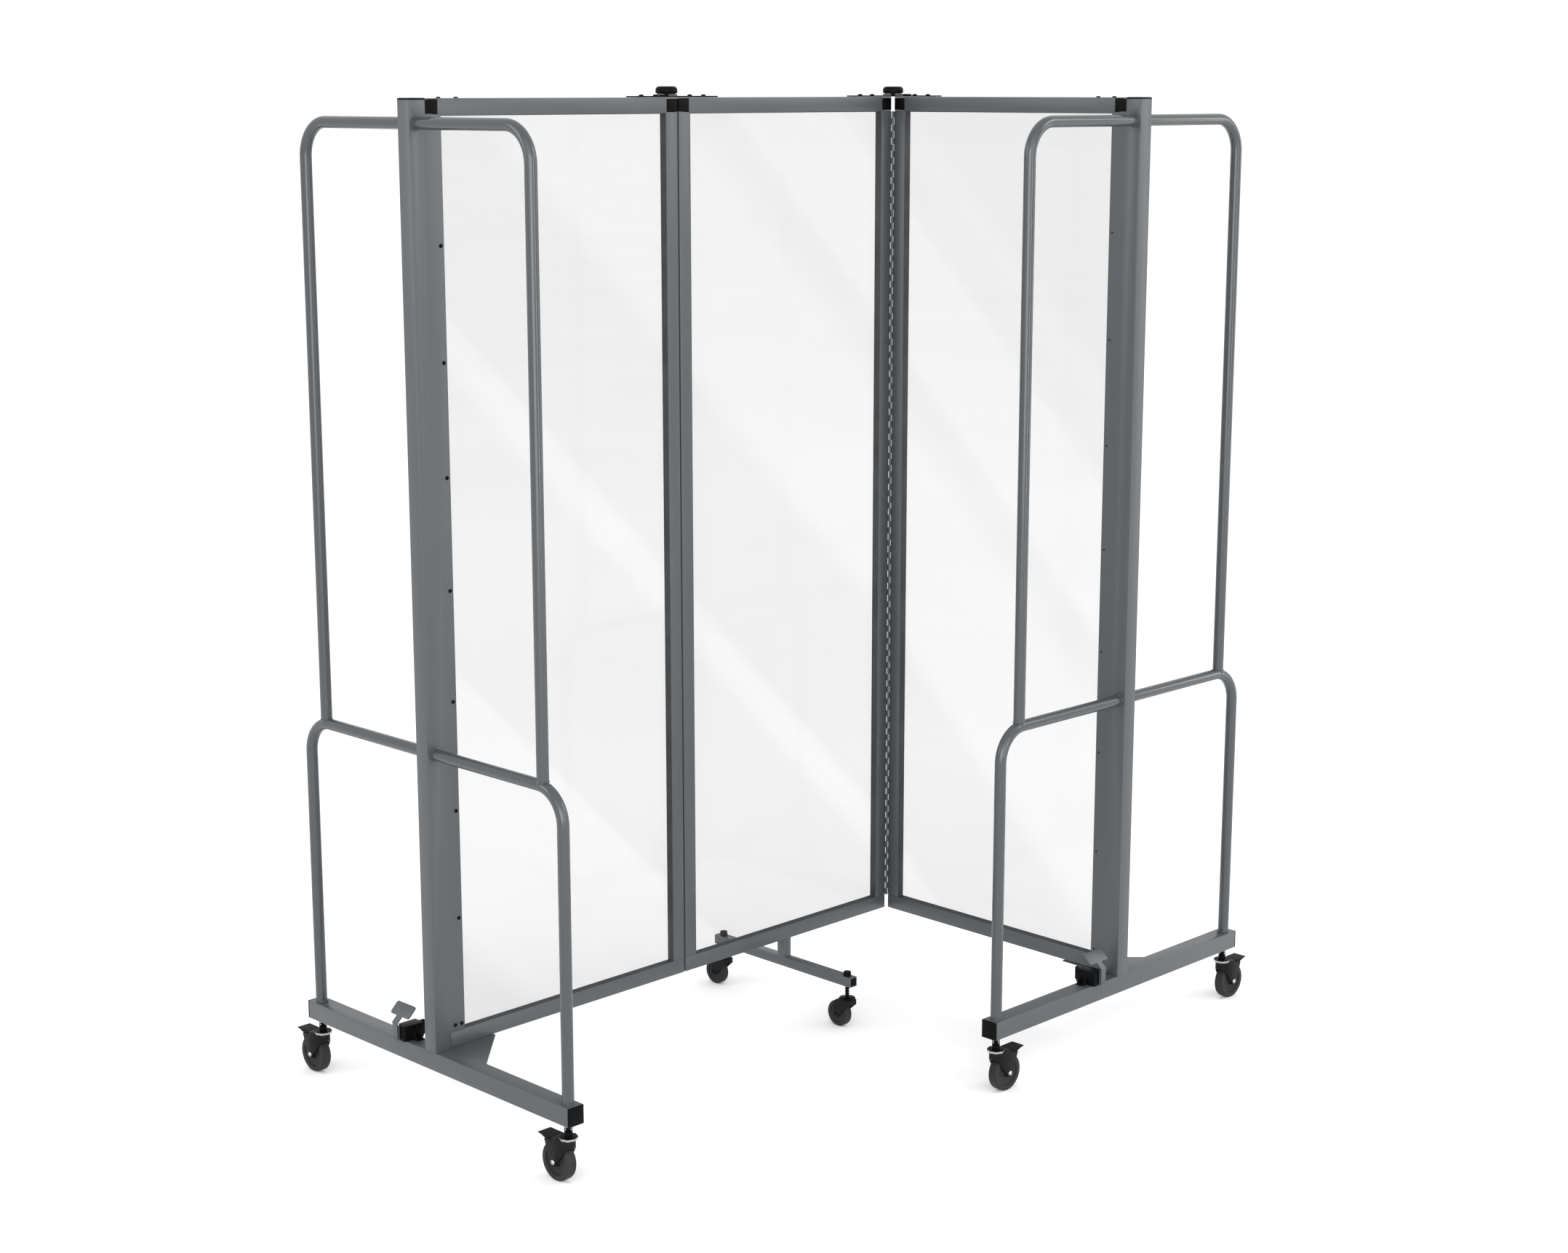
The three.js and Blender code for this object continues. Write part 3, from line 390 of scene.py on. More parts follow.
def make_finishes(finish):
    """All the finishes by name, made once."""
    return {
        "slate": powder_coat("slate_powder_coat", finish.slate, 0.40),
        # The hoops' coat is the frame paint darkened to 0.85 as painted shade, for the darker
        # surroundings that round tubes reflect; its lower roughness is a real gloss.
        "tube": powder_coat("slate_gloss_coat_painted_shade", shade(finish.slate, 0.85), 0.17),
        "liner": moulded_plastic("dark_pane_liner", finish.liner, 0.5),
        "black": moulded_plastic("black_moulded_plastic", finish.black),
        "hood": moulded_plastic("black_caster_plastic", finish.hood, 0.34, 0.05),
        "coated": coated_steel("black_coated_steel", finish.black),
        "steel": plated_steel("plated_bright_steel", finish.steel),
        "tread": wheel_rubber("grey_wheel_rubber", finish.tread),
        "pane": clear_sheet("clear_acrylic_painted_glare", finish.pane),
    }


FINISHES = {}


def finish_named(key):
    """A finish by its name: all are made the first time that one is asked for."""
    if not FINISHES:
        FINISHES.update(make_finishes(bpy.context.scene.screen_finish))
    return FINISHES[key]


# Mesh tools


def block(bm, low, high):
    """A box between two corners. Returns its vertices."""
    low, high = Vector(low), Vector(high)
    size = high - low
    scale = Matrix.Diagonal((size.x, size.y, size.z, 1))
    matrix = Matrix.Translation((low + high) / 2) @ scale
    return bmesh.ops.create_cube(bm, size=1, matrix=matrix)["verts"]


def edges_of(verts):
    """The edges that meet these vertices, each once and in order."""
    return list(dict.fromkeys(edge for vert in verts for edge in vert.link_edges))


def round_edges(bm, edges, width, segments=2):
    """Rounds edges, and shades only the new faces smooth."""
    made = bmesh.ops.bevel(
        bm, geom=edges, offset=width, offset_type="OFFSET", segments=segments,
        profile=0.5, affect="EDGES", material=-1, clamp_overlap=True,
    )
    for face in made["faces"]:
        face.smooth = True


def rounded_block(bm, low, high, width, segments=2):
    """A box between two corners with all its edges rounded."""
    round_edges(bm, edges_of(block(bm, low, high)), width, segments)


def slab(bm, outline, lift):
    """An outline of points, pushed out along a vector into a solid. Returns its vertices."""
    verts = [bm.verts.new(point) for point in outline]
    face = bm.faces.new(verts)
    made = bmesh.ops.extrude_face_region(bm, geom=[face])["geom"]
    raised = [item for item in made if isinstance(item, bmesh.types.BMVert)]
    bmesh.ops.translate(bm, verts=raised, vec=Vector(lift))
    return verts + raised


def turned(bm, profile, steps, matrix=Matrix.Identity(4), closed=False):
    """A round solid: a profile of radius and height, spun about Z and set in place by a matrix."""
    verts = [bm.verts.new((radius, 0, height)) for radius, height in profile]
    edges = [bm.edges.new(pair) for pair in zip(verts, verts[1:])]
    if closed:
        edges.append(bm.edges.new((verts[-1], verts[0])))
    before = set(bm.faces)
    bmesh.ops.spin(
        bm, geom=verts + edges, cent=(0, 0, 0), axis=UP, dvec=(0, 0, 0),
        angle=FULL_TURN, steps=steps, use_merge=True, use_duplicate=False,
    )
    made = [face for face in bm.faces if face not in before]
    for face in made:
        face.smooth = True
    spun = dict.fromkeys(vert for face in made for vert in face.verts)
    poles = [vert for vert in spun if math.hypot(vert.co.x, vert.co.y) < 1e-7]
    bmesh.ops.remove_doubles(bm, verts=poles, dist=1e-6)
    spun = list(dict.fromkeys(vert for face in made if face.is_valid for vert in face.verts))
    bmesh.ops.transform(bm, matrix=matrix, verts=spun)
    return spun


def arc(centre, radius, start, stop, steps):
    """Points of an arc in two dimensions, its angles in degrees."""
    angles = [math.radians(start + (stop - start) * step / steps) for step in range(steps + 1)]
    return [(centre[0] + radius * math.cos(a), centre[1] + radius * math.sin(a)) for a in angles]


def facing(direction, point):
    """A matrix that turns +Z to a direction and moves the origin to a point."""
    turn = Vector(direction).to_track_quat("Z", "Y").to_matrix().to_4x4()
    return Matrix.Translation(point) @ turn


def bead(bm, matrix, radius, thickness, steps=36, section=8):
    """A ring of weld or a moulded lip round +Z of a matrix."""
    ring = [(radius + x, z) for x, z in arc((0, 0), thickness, 0, 360, section)[:-1]]
    return turned(bm, ring, steps, matrix, closed=True)


def screw_head(bm, matrix, radius, steps=14):
    """A low dome with a round socket in it, standing on a face and sunk a little into it."""
    height, socket = radius * 0.55, radius * 0.42
    floor, brim, root = height * 0.35, height * 0.94, -height * 0.3
    dome_angle = 62
    dome = arc((0, 0), 1, 0, dome_angle, 4)
    rise = height / math.sin(math.radians(dome_angle))
    profile = [(0, floor), (socket, floor), (socket, brim)]
    profile += [(radius * x, rise * y) for x, y in reversed(dome)]
    profile += [(radius, root), (0, root)]
    turned(bm, profile, steps, matrix)


def finish_piece(bm, name, body, finishes, bench=None, replaces=(), smooth_angle=38):
    """Turns a bmesh into a piece in the row frame that rides on a body and wears its finishes."""
    if not bm.faces:
        raise RuntimeError("Nothing was made for " + name)
    if bench is not None:
        bmesh.ops.transform(bm, matrix=BENCHES[bench], verts=bm.verts)
    bmesh.ops.remove_doubles(bm, verts=bm.verts, dist=1e-7)
    bmesh.ops.recalc_face_normals(bm, faces=bm.faces)
    mesh = bpy.data.meshes.new(name)
    bm.to_mesh(mesh)
    bm.free()
    mesh.set_sharp_from_angle(angle=math.radians(smooth_angle))
    piece = bpy.data.objects.new(name, mesh)
    bpy.context.scene.collection.objects.link(piece)
    for key in finishes:
        mesh.materials.append(finish_named(key))
    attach(piece, body)
    if replaces:
        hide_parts(*replaces)


def machined_copy(bm, node, width, sharp=28, bench=None):
    """A CAD node's shape, merged, with its sharp edges rounded, on a bench if one is named."""
    bm.from_mesh(NODES[node].data)
    bmesh.ops.remove_doubles(bm, verts=bm.verts, dist=1e-6)
    bmesh.ops.dissolve_limit(bm, angle_limit=math.radians(0.5), verts=bm.verts, edges=bm.edges)
    for face in bm.faces:
        face.smooth = False
    limit = math.radians(sharp)
    edges = [edge for edge in bm.edges if edge.is_manifold and edge.calc_face_angle(0) > limit]
    round_edges(bm, edges, width)
    if bench is not None:
        bmesh.ops.transform(bm, matrix=BENCHES[bench].inverted(), verts=bm.verts)


# Frames and panes


def sharp_slab(bm, outline, lift, width):
    """An outline pushed out along a vector, with all its sharp edges rounded."""
    verts = slab(bm, outline, lift)
    round_edges(bm, [edge for edge in edges_of(verts) if edge.calc_face_angle(0) > 0.1], width)


def build_frame_tubes(name, sizes):
    """The tubes of a panel frame, stepped back behind the pane and cut round the top blocks."""
    low, high = bench_box(name, name + "_panel_frame")
    block_low, block_high = bench_box(name, f"{name}_panel_left_corner_block")
    across = min(block_high.x - block_low.x, sizes.stile)
    foot, head = low.z + sizes.rail, high.z - sizes.rail
    under = block_low.z - sizes.leaf_gap
    inset = across + sizes.leaf_gap
    front, back = low.y, high.y
    step = bench_box(name, name + "_panel_pane")[1].y + sizes.leaf_gap
    body = sizes.rear_width
    bm = bmesh.new()
    for edge, rear, inner, short in (
        (low.z, low.z + body, foot, 0),
        (high.z, high.z - body, head, inset),
    ):
        profile = [(front, edge), (back, edge), (back, rear)]
        profile += [(step, rear), (step, inner), (front, inner)]
        run = (high.x - low.x - 2 * short, 0, 0)
        sharp_slab(bm, [(low.x + short, y, z) for y, z in profile], run, sizes.tube_edge)
    lid = block_high.z + sizes.leaf_gap
    for edge, inward in ((low.x, 1), (high.x, -1)):
        inner, rear = edge + inward * sizes.stile, edge + inward * body
        profile = [(edge, front), (inner, front), (inner, step)]
        profile += [(rear, step), (rear, back), (edge, back)]
        sharp_slab(bm, [(x, y, foot) for x, y in profile], (0, 0, under - foot), sizes.tube_edge)
        xs = sorted((edge, rear))
        rounded_block(bm, (xs[0], step, low.z + body), (xs[1], back, foot), sizes.sheet_edge, 1)
        xs = sorted((edge + inward * inset, inner))
        rounded_block(bm, (xs[0], front, under), (xs[1], step, head), sizes.sheet_edge, 1)
        xs = sorted((edge, edge + inward * (inset + sizes.tube_edge)))
        rounded_block(bm, (xs[0], front, lid), (xs[1], back, high.z), sizes.sheet_edge, 1)
    finish_piece(bm, name + "_frame_tubes", name + "_panel", ["slate"],
                 bench=name, replaces=[name + "_panel_frame"])


def build_liner(name, sizes):
    """The dark liner that faces the inside of a frame in front of the pane."""
    low, high = bench_box(name, name + "_panel_frame")
    pane_high = bench_box(name, name + "_panel_pane")[1]
    thick = sizes.liner_thickness
    x0, x1 = low.x + sizes.stile, high.x - sizes.stile
    z0, z1 = low.z + sizes.rail, high.z - sizes.rail
    bm = bmesh.new()
    y0, y1 = low.y + sizes.tube_edge / 2, pane_high.y
    for strip_low, strip_high in (
        ((x0, y0, z0), (x1, y1, z0 + thick)),
        ((x0, y0, z1 - thick), (x1, y1, z1)),
        ((x0, y0, z0), (x0 + thick, y1, z1)),
        ((x1 - thick, y0, z0), (x1, y1, z1)),
    ):
        rounded_block(bm, strip_low, strip_high, thick / 4, 1)
    finish_piece(bm, name + "_pane_liner", name + "_panel", ["liner"], bench=name)


def build_corner_blocks(name, sizes):
    """The two moulded blocks in the top corners of a frame."""
    bm = bmesh.new()
    nodes = [f"{name}_panel_{side}_corner_block" for side in ("left", "right")]
    for node in nodes:
        low, high = bench_box(name, node)
        rounded_block(bm, low, high, sizes.tube_edge * 0.6, 3)
    finish_piece(bm, name + "_corner_blocks", name + "_panel", ["black"],
                 bench=name, replaces=nodes)


class SCREEN_OT_frames(bpy.types.Operator):
    """Make the panel frames with their liners and corner blocks, and finish the panes"""

    bl_idname = "screen.frames"
    bl_label = "Frames and panes"

    def execute(self, context):
        sizes = context.scene.screen_sizes
        for name in PANELS:
            build_frame_tubes(name, sizes)
            build_liner(name, sizes)
            build_corner_blocks(name, sizes)
            pane = NODES[name + "_panel_pane"]
            pane.data.materials.clear()
            pane.data.materials.append(finish_named("pane"))
        return {"FINISHED"}


# Hinges


def hinge_place(bench, end):
    """A hinge axis on a bench, and the side of the axis that the panel's depth lies on."""
    axis = on_bench(bench, JOINTS[end + "_panel_fold"]["pos_m"])
    return axis.x, axis.y, -math.copysign(1, axis.y)


def panel_side(bench, x):
    """The side of x that a panel lies on, 1 or -1, with the panel's two corners."""
    low, high = bench_box(bench, bench + "_panel_frame")
    return (1 if (low.x + high.x) / 2 > x else -1), low, high


def build_leaf(bench, end, kind, sizes):
    """One leaf of a hinge: a strip beside its panel, with every second knuckle of the barrel.

    The inner leaf has the first knuckle, and holds the pin.
    """
    node = f"{end}_hinge_{kind}_leaf"
    low, high = bench_box(bench, node)
    x, y, back = hinge_place(bench, end)
    toward, panel_low, panel_high = panel_side(bench, x)
    face = (panel_low.x if toward > 0 else panel_high.x) - toward * sizes.leaf_gap
    xs = sorted((face, face - toward * sizes.leaf_sheet))
    count = round((high.z - low.z) / sizes.knuckle_pitch)
    pitch = (high.z - low.z) / count
    gap = 0.00025
    start = y + back * (sizes.knuckle_radius + sizes.notch_depth)
    ys = sorted((start, high.y if back > 0 else low.y))
    tab = sorted((y, start + back * sizes.leaf_sheet))
    bm = bmesh.new()
    block(bm, (xs[0], ys[0], low.z), (xs[1], ys[1], high.z))
    radius, bore = sizes.knuckle_radius, sizes.pin_radius * 1.15
    at = Matrix.Translation((x, y, 0))
    for index in range(0 if kind == "inner" else 1, count, 2):
        z0, z1 = low.z + index * pitch + gap / 2, low.z + (index + 1) * pitch - gap / 2
        ring = [(bore, z0), (radius, z0), (radius, z1), (bore, z1)]
        turned(bm, ring, 14, at, closed=True)
        block(bm, (xs[0], tab[0], z0), (xs[1], tab[1], z1))
    if kind == "inner":
        pin, proud = sizes.pin_radius, 0.0012
        tip, chamfer = pin * 0.7, pin * 0.4
        bottom, top = low.z - proud, high.z + proud
        rod = [(0, bottom), (tip, bottom), (pin, bottom + chamfer)]
        rod += [(pin, top - chamfer), (tip, top), (0, top)]
        turned(bm, rod, 12, at)
    finish_piece(bm, f"{end}_hinge_{kind}_strip", bench + "_panel", ["slate"],
                 bench=bench, replaces=[node], smooth_angle=50)


def build_knob(end):
    """The friction knob on top of a hinge, with the disc under it and its shaft."""
    node = end + "_fold_knob"
    low, high = bench_box("middle", node)
    x, y, _back = hinge_place("middle", end)
    radius, crown = (high.x - low.x) / 2, high.z
    edge, disc, shaft, crease = radius * 0.34, radius * 0.85, 0.004, 0.0008
    height, slit = 0.0125, 0.0014
    foot = crown - height
    bm = bmesh.new()
    profile = [(0, crown), (radius - edge - 0.004, crown)]
    profile += reversed(arc((radius - edge, crown - edge), edge, 8, 90, 8))
    profile += [(radius, crown - edge * 1.2), (radius, foot + crease), (radius - crease, foot)]
    profile += [(disc, foot), (disc, foot - slit), (shaft, foot - slit), (shaft, low.z), (0, low.z)]
    turned(bm, profile, 56, Matrix.Translation((x, y, 0)))
    finish_piece(bm, end + "_friction_knob", node, ["black"],
                 bench="middle", replaces=[node], smooth_angle=50)


def build_top_plate(bench, end, kind, sizes):
    """A plate from a rail to the knob, with its round ear and two dome screws."""
    node = f"{end}_hinge_{kind}_top_plate"
    bm = bmesh.new()
    machined_copy(bm, node, sizes.sheet_edge, sharp=40, bench=bench)
    x = hinge_place(bench, end)[0]
    toward, panel_low, panel_high = panel_side(bench, x)
    top = bench_box(bench, node)[0].z + 0.0024
    for run in (0.042, 0.076):
        spot = (x + toward * run, (panel_low.y + panel_high.y) / 2, top)
        screw_head(bm, Matrix.Translation(spot), 0.0048, 20)
    finish_piece(bm, f"{end}_hinge_{kind}_plate", bench + "_panel", ["coated"],
                 bench=bench, replaces=[node])


class SCREEN_OT_hinges(bpy.types.Operator):
    """Make the full-length hinges with their knobs and top plates"""

    bl_idname = "screen.hinges"
    bl_label = "Hinges and knobs"

    def execute(self, context):
        sizes = context.scene.screen_sizes
        for end in ENDS:
            build_leaf("middle", end, "inner", sizes)
            build_leaf(end, end, "outer", sizes)
            build_top_plate("middle", end, "inner", sizes)
            build_top_plate(end, end, "outer", sizes)
            build_knob(end)
        return {"FINISHED"}


# End frames


def build_post(end, sizes):
    """The channel round the outer stile, with screws up both of its flanges.

    The heads are on the front of the left post and on the back of the right one, and the
    screws' ends on the other side. The lowest row has a second pair nearer the edge.
    """
    node = end + "_end_post"
    bm = bmesh.new()
    machined_copy(bm, node, sizes.sheet_edge * 0.8, sharp=60, bench=end)
    finish_piece(bm, end + "_post_channel", end + "_panel", ["slate"], bench=end, replaces=[node])
    low, high = bench_box(end, node)
    panel_low, panel_high = bench_box(end, end + "_panel_frame")
    inset, edge_inset = 0.024, 0.010
    spots = [(inset, row) for row in range(sizes.screw_rows)]
    spots.insert(1, (edge_inset, 0))
    heads = -1 if end == "left" else 1
    first = panel_low.z + 0.040
    bm = bmesh.new()
    for inward, row in spots:
        for side, face in ((-1, low.y), (1, high.y)):
            radius = sizes.screw_radius if side == heads else sizes.screw_radius * 0.5
            spot = (panel_high.x - inward, face, first + row * sizes.screw_pitch)
            screw_head(bm, facing((0, side, 0), spot), radius)
    finish_piece(bm, end + "_post_screws", end + "_panel", ["coated"], bench=end)


def build_post_cap(end, sizes):
    """The thin domed cap on top of a post, and the two screws in the rail beside it."""
    low, high = bench_box(end, end + "_end_post")
    panel_high = bench_box(end, end + "_panel_frame")[1]
    sunk, rise, dome = 0.0002, 0.0032, 0.0026
    bm = bmesh.new()
    verts = block(bm, (panel_high.x + sizes.leaf_gap, low.y, high.z - sunk),
                  (high.x, high.y, high.z + rise))
    top = [vert for vert in verts if vert.co.z > high.z]
    rim = [edge for edge in edges_of(top) if all(vert in top for vert in edge.verts)]
    round_edges(bm, rim, dome, 4)
    for inset in (0.0385, 0.075):
        at = Matrix.Translation((panel_high.x - inset, 0, panel_high.z))
        screw_head(bm, at, 0.0042, 20)
    finish_piece(bm, end + "_post_cap", end + "_panel", ["black"], bench=end)


def build_beam(end, sizes):
    """The square base beam with its gusset."""
    node = end + "_base_beam"
    bm = bmesh.new()
    machined_copy(bm, node, sizes.tube_edge * 0.9, sharp=60)
    finish_piece(bm, end + "_beam_tube", end + "_panel", ["slate"], replaces=[node])


def build_beam_caps(end, sizes):
    """The flush caps in the ends of a beam."""
    nodes = [f"{end}_beam_{side}_cap" for side in SIDES]
    thick = 0.0025
    bm = bmesh.new()
    for node, side in zip(nodes, (-1, 1)):
        low, high = bench_box(end, node)
        y = high.y if side > 0 else low.y
        ys = sorted((y, y - side * thick))
        rounded_block(bm, (low.x, ys[0], low.z), (high.x, ys[1], high.z), sizes.tube_edge * 0.7, 3)
    finish_piece(bm, end + "_beam_caps", end + "_panel", ["black"], bench=end, replaces=nodes)


def bent_tube(bm, start, radius, sides, runs):
    """A round tube from a start point going up, open at both ends.

    A run is a straight length, or the radius, axis and angle of a bend with its steps.
    """
    circle = bmesh.ops.create_circle(
        bm, cap_ends=False, radius=radius, segments=sides, matrix=Matrix.Translation(start)
    )["verts"]
    edges = [edge for edge in edges_of(circle) if all(vert in circle for vert in edge.verts)]
    heading, point = UP.copy(), Vector(start)
    before = set(bm.faces)
    for run in runs:
        if len(run) == 1:
            made = bmesh.ops.extrude_edge_only(bm, edges=edges)["geom"]
            verts = [item for item in made if isinstance(item, bmesh.types.BMVert)]
            step = heading * run[0]
            bmesh.ops.translate(bm, verts=verts, vec=step)
            point += step
        else:
            bend, axis, angle, steps = run
            axis = Vector(axis)
            centre = point + axis.cross(heading).normalized() * bend
            verts = list(dict.fromkeys(vert for edge in edges for vert in edge.verts))
            made = bmesh.ops.spin(
                bm, geom=verts + edges, cent=centre, axis=axis, dvec=(0, 0, 0),
                angle=angle, steps=steps, use_merge=False, use_duplicate=False,
            )["geom_last"]
            turn = Matrix.Rotation(angle, 3, axis)
            point = centre + turn @ (point - centre)
            heading = turn @ heading
        edges = [item for item in made if isinstance(item, bmesh.types.BMEdge)]
    for face in bm.faces:
        if face not in before:
            face.smooth = True


def build_hoops(end, sizes):
    """The tall guard hoop, coped onto the bar of the low one, with their welds."""
    node = end + "_guard_hoops"
    low, high = bench_box(end, node)
    x, radius = (low.x + high.x) / 2, (high.x - low.x) / 2
    half_low = high.y - radius
    half_high = bench_box(end, end + "_beam_back_cap")[1].y - sizes.tall_hoop_inset
    bar_low = bench_box(end, end + "_panel_frame")[0].z + sizes.hoop_bar
    bar_high = high.z - radius
    bend = sizes.hoop_bend
    corner = (bend, (-1, 0, 0), math.pi / 2, 12)
    bm = bmesh.new()
    for half, foot, bar in ((half_low, low.z, bar_low), (half_high, bar_low, bar_high)):
        rise, width = bar - foot - bend, 2 * (half - bend)
        runs = [(rise,), corner, (width,), corner, (rise,)]
        bent_tube(bm, (x, -half, foot), radius, 32, runs)
    ends = [edge for edge in bm.edges if edge.is_boundary]
    bmesh.ops.holes_fill(bm, edges=ends, sides=0)
    foot_weld, cope_weld = low.z + 0.0008, bar_low + radius * 0.72
    for side in (-1, 1):
        for y, z, loose, thick in (
            (side * half_low, foot_weld, 0.0003, 0.0014),
            (side * half_high, cope_weld, 0.0001, 0.0012),
        ):
            bead(bm, Matrix.Translation((x, y, z)), radius + loose, thick)
    post_low, post_high = bench_box(end, end + "_end_post")
    proud, loose, thick = 0.0003, 0.0002, 0.0011
    for z in (bar_low, bar_high):
        for y, side in ((post_low.y, -1), (post_high.y, 1)):
            at = facing((0, side, 0), (x, y + side * proud, z))
            bead(bm, at, radius + loose, thick)
    # The hoops wear the frame paint with painted shade: a darker copy of the slate coat.
    finish_piece(bm, end + "_hoop_tubes", end + "_panel", ["tube"], bench=end, replaces=[node])


class SCREEN_OT_end_frames(bpy.types.Operator):
    """Make the posts, base beams, caps and guard hoops"""

    bl_idname = "screen.end_frames"
    bl_label = "End frames"

    def execute(self, context):
        sizes = context.scene.screen_sizes
        for end in ENDS:
            build_post(end, sizes)
            build_post_cap(end, sizes)
            build_beam(end, sizes)
            build_beam_caps(end, sizes)
            build_hoops(end, sizes)
        return {"FINISHED"}


# Latches


def build_latch(end):
    """The latch housing with its grey cheek plate."""
    node = end + "_latch_housing"
    bm = bmesh.new()
    machined_copy(bm, node, 0.0006, sharp=40, bench=end)
    cheek = bench_box(end, node)[1].y - 0.0027
    for face in bm.faces:
        if face.calc_center_median().y > cheek:
            face.material_index = 1
    finish_piece(bm, end + "_latch_box", end + "_panel", ["black", "slate"],
                 bench=end, replaces=[node])


def build_pedal(end, sizes):
    """The pedal, with a slot round the small tongue at the foot of its leg."""
    node = end + "_latch_pedal"
    bm = bmesh.new()
    machined_copy(bm, node, sizes.sheet_edge, sharp=30, bench=end)
    flat = [face for face in bm.faces if abs(face.normal.x) > 0.99]
    # The leg's front is the flat face that lies farthest out, and the larger of two that tie
    front = max(flat, key=lambda face: face.calc_area() + 9 * face.calc_center_median().x)
    ys = [vert.co.y for vert in front.verts]
    middle = (min(ys) + max(ys)) / 2
    wide, tall, slit, depth = 0.0032, 0.0074, 0.0009, 0.0016
    foot = bench_box(end, node)[0].z + 0.0022
    cuts_y = [middle - wide, middle - wide + slit, middle + wide - slit, middle + wide]
    cuts_z = [foot, foot + slit, foot + tall]
    x = front.calc_center_median().x
    pieces = [front]
    for normal, places in ((Vector((0, 1, 0)), cuts_y), (UP, cuts_z)):
        for place in places:
            geom = {item for face in pieces for item in (face, *face.edges, *face.verts)}
            bmesh.ops.bisect_plane(
                bm, geom=list(geom), plane_co=normal * place, plane_no=normal, dist=1e-6
            )
            pieces = [face for face in bm.faces if abs(face.normal.x) > 0.99
                      and abs(face.calc_center_median().x - x) < 1e-5]
    groove = []
    for face in pieces:
        spot = face.calc_center_median()
        inside = abs(spot.y - middle) < wide and foot < spot.z < foot + tall
        tongue = abs(spot.y - middle) < wide - slit and spot.z > foot + slit
        if inside and not tongue:
            groove.append(face)
    made = bmesh.ops.extrude_face_region(bm, geom=groove)["geom"]
    sunk = [item for item in made if isinstance(item, bmesh.types.BMVert)]
    bmesh.ops.translate(bm, verts=sunk, vec=(-depth, 0, 0))
    left = [face for face in groove if face.is_valid]
    bmesh.ops.delete(bm, geom=left, context="FACES_ONLY")
    finish_piece(bm, end + "_foot_pedal", end + "_pedal", ["slate"], bench=end, replaces=[node])


class SCREEN_OT_latches(bpy.types.Operator):
    """Make the foot latches and their pedals"""

    bl_idname = "screen.latches"
    bl_label = "Foot latches"

    def execute(self, context):
        for end in ENDS:
            build_latch(end)
            build_pedal(end, context.scene.screen_sizes)
        return {"FINISHED"}


# Middle foot


def build_foot():
    """The middle foot's tubes, with the plugs tucked into its open ends."""
    node = "middle_foot"
    bm = bmesh.new()
    machined_copy(bm, node, 0.0006, sharp=60)
    finish_piece(bm, "middle_foot_tubes", "middle_panel", ["slate"], replaces=[node])
    low, high = bench_box("middle", node)
    tube = high.x - low.x
    wall, tuck, depth = 0.0015, 0.0012, 0.009
    half = tube / 2 - wall
    bm = bmesh.new()
    for y, side in ((low.y, -1), (high.y, 1)):
        ys = sorted((y - side * tuck, y - side * (tuck + depth)))
        rounded_block(bm, (-half, ys[0], low.z + wall), (half, ys[1], low.z + tube - wall), 0.0005)
    finish_piece(bm, "middle_foot_plugs", "middle_panel", ["black"], bench="middle")


class SCREEN_OT_foot(bpy.types.Operator):
    """Make the middle foot and its plugs"""

    bl_idname = "screen.foot"
    bl_label = "Middle foot"

    def execute(self, context):
        build_foot()
        return {"FINISHED"}


# Casters


def caster_place(panel, side):
    """The swivel axis of a caster, and its wheel's centre, on the panel's bench."""
    name = f"{panel}_{side}_caster"
    swivel = on_bench(panel, JOINTS[name + "_swivel"]["pos_m"])
    wheel = on_bench(panel, JOINTS[name + "_wheel_turn"]["pos_m"])
    return name, swivel, wheel


def build_wheel(panel, side):
    """A wheel: rubber tread with round shoulders, a sunk web and a hub.

    Its profile runs from the bore out to the tread, as pairs of radius and half width.
    """
    name, _swivel, centre = caster_place(panel, side)
    low, high = bench_box(panel, name + "_wheel")
    radius, hub_half = (high.z - low.z) / 2, (high.x - low.x) / 2
    bore, hub, rim = radius * 0.09, radius * 0.25, radius * 0.705
    edge, half = radius * 0.105, hub_half * 0.955
    web, crease = half * 0.60, 0.0006
    right = [(bore, hub_half), (hub - crease, hub_half), (hub, hub_half - crease)]
    right += [(hub + 0.0005, web + 0.0008), (hub + 0.0014, web)]
    right += [(rim - 0.0016, web), (rim - crease, web + 0.0004), (rim - 0.0002, web + 0.0012)]
    right += [(rim, half - crease), (rim + crease, half), (radius - edge * 1.2, half)]
    right += reversed(arc((radius - edge, half - edge), edge, 8, 82, 6))
    right += [(radius, half - edge * 1.15)]
    profile = right + [(r, -z) for r, z in reversed(right)]
    bm = bmesh.new()
    turned(bm, profile, 64, facing((1, 0, 0), centre), closed=True)
    for face in bm.faces:
        spot = face.calc_center_median() - centre
        if math.hypot(spot.y, spot.z) < hub + 0.001:
            face.material_index = 1
    finish_piece(bm, name + "_tyre_and_core", name + "_wheel", ["tread", "hood"],
                 bench=panel, replaces=[name + "_wheel"], smooth_angle=45)


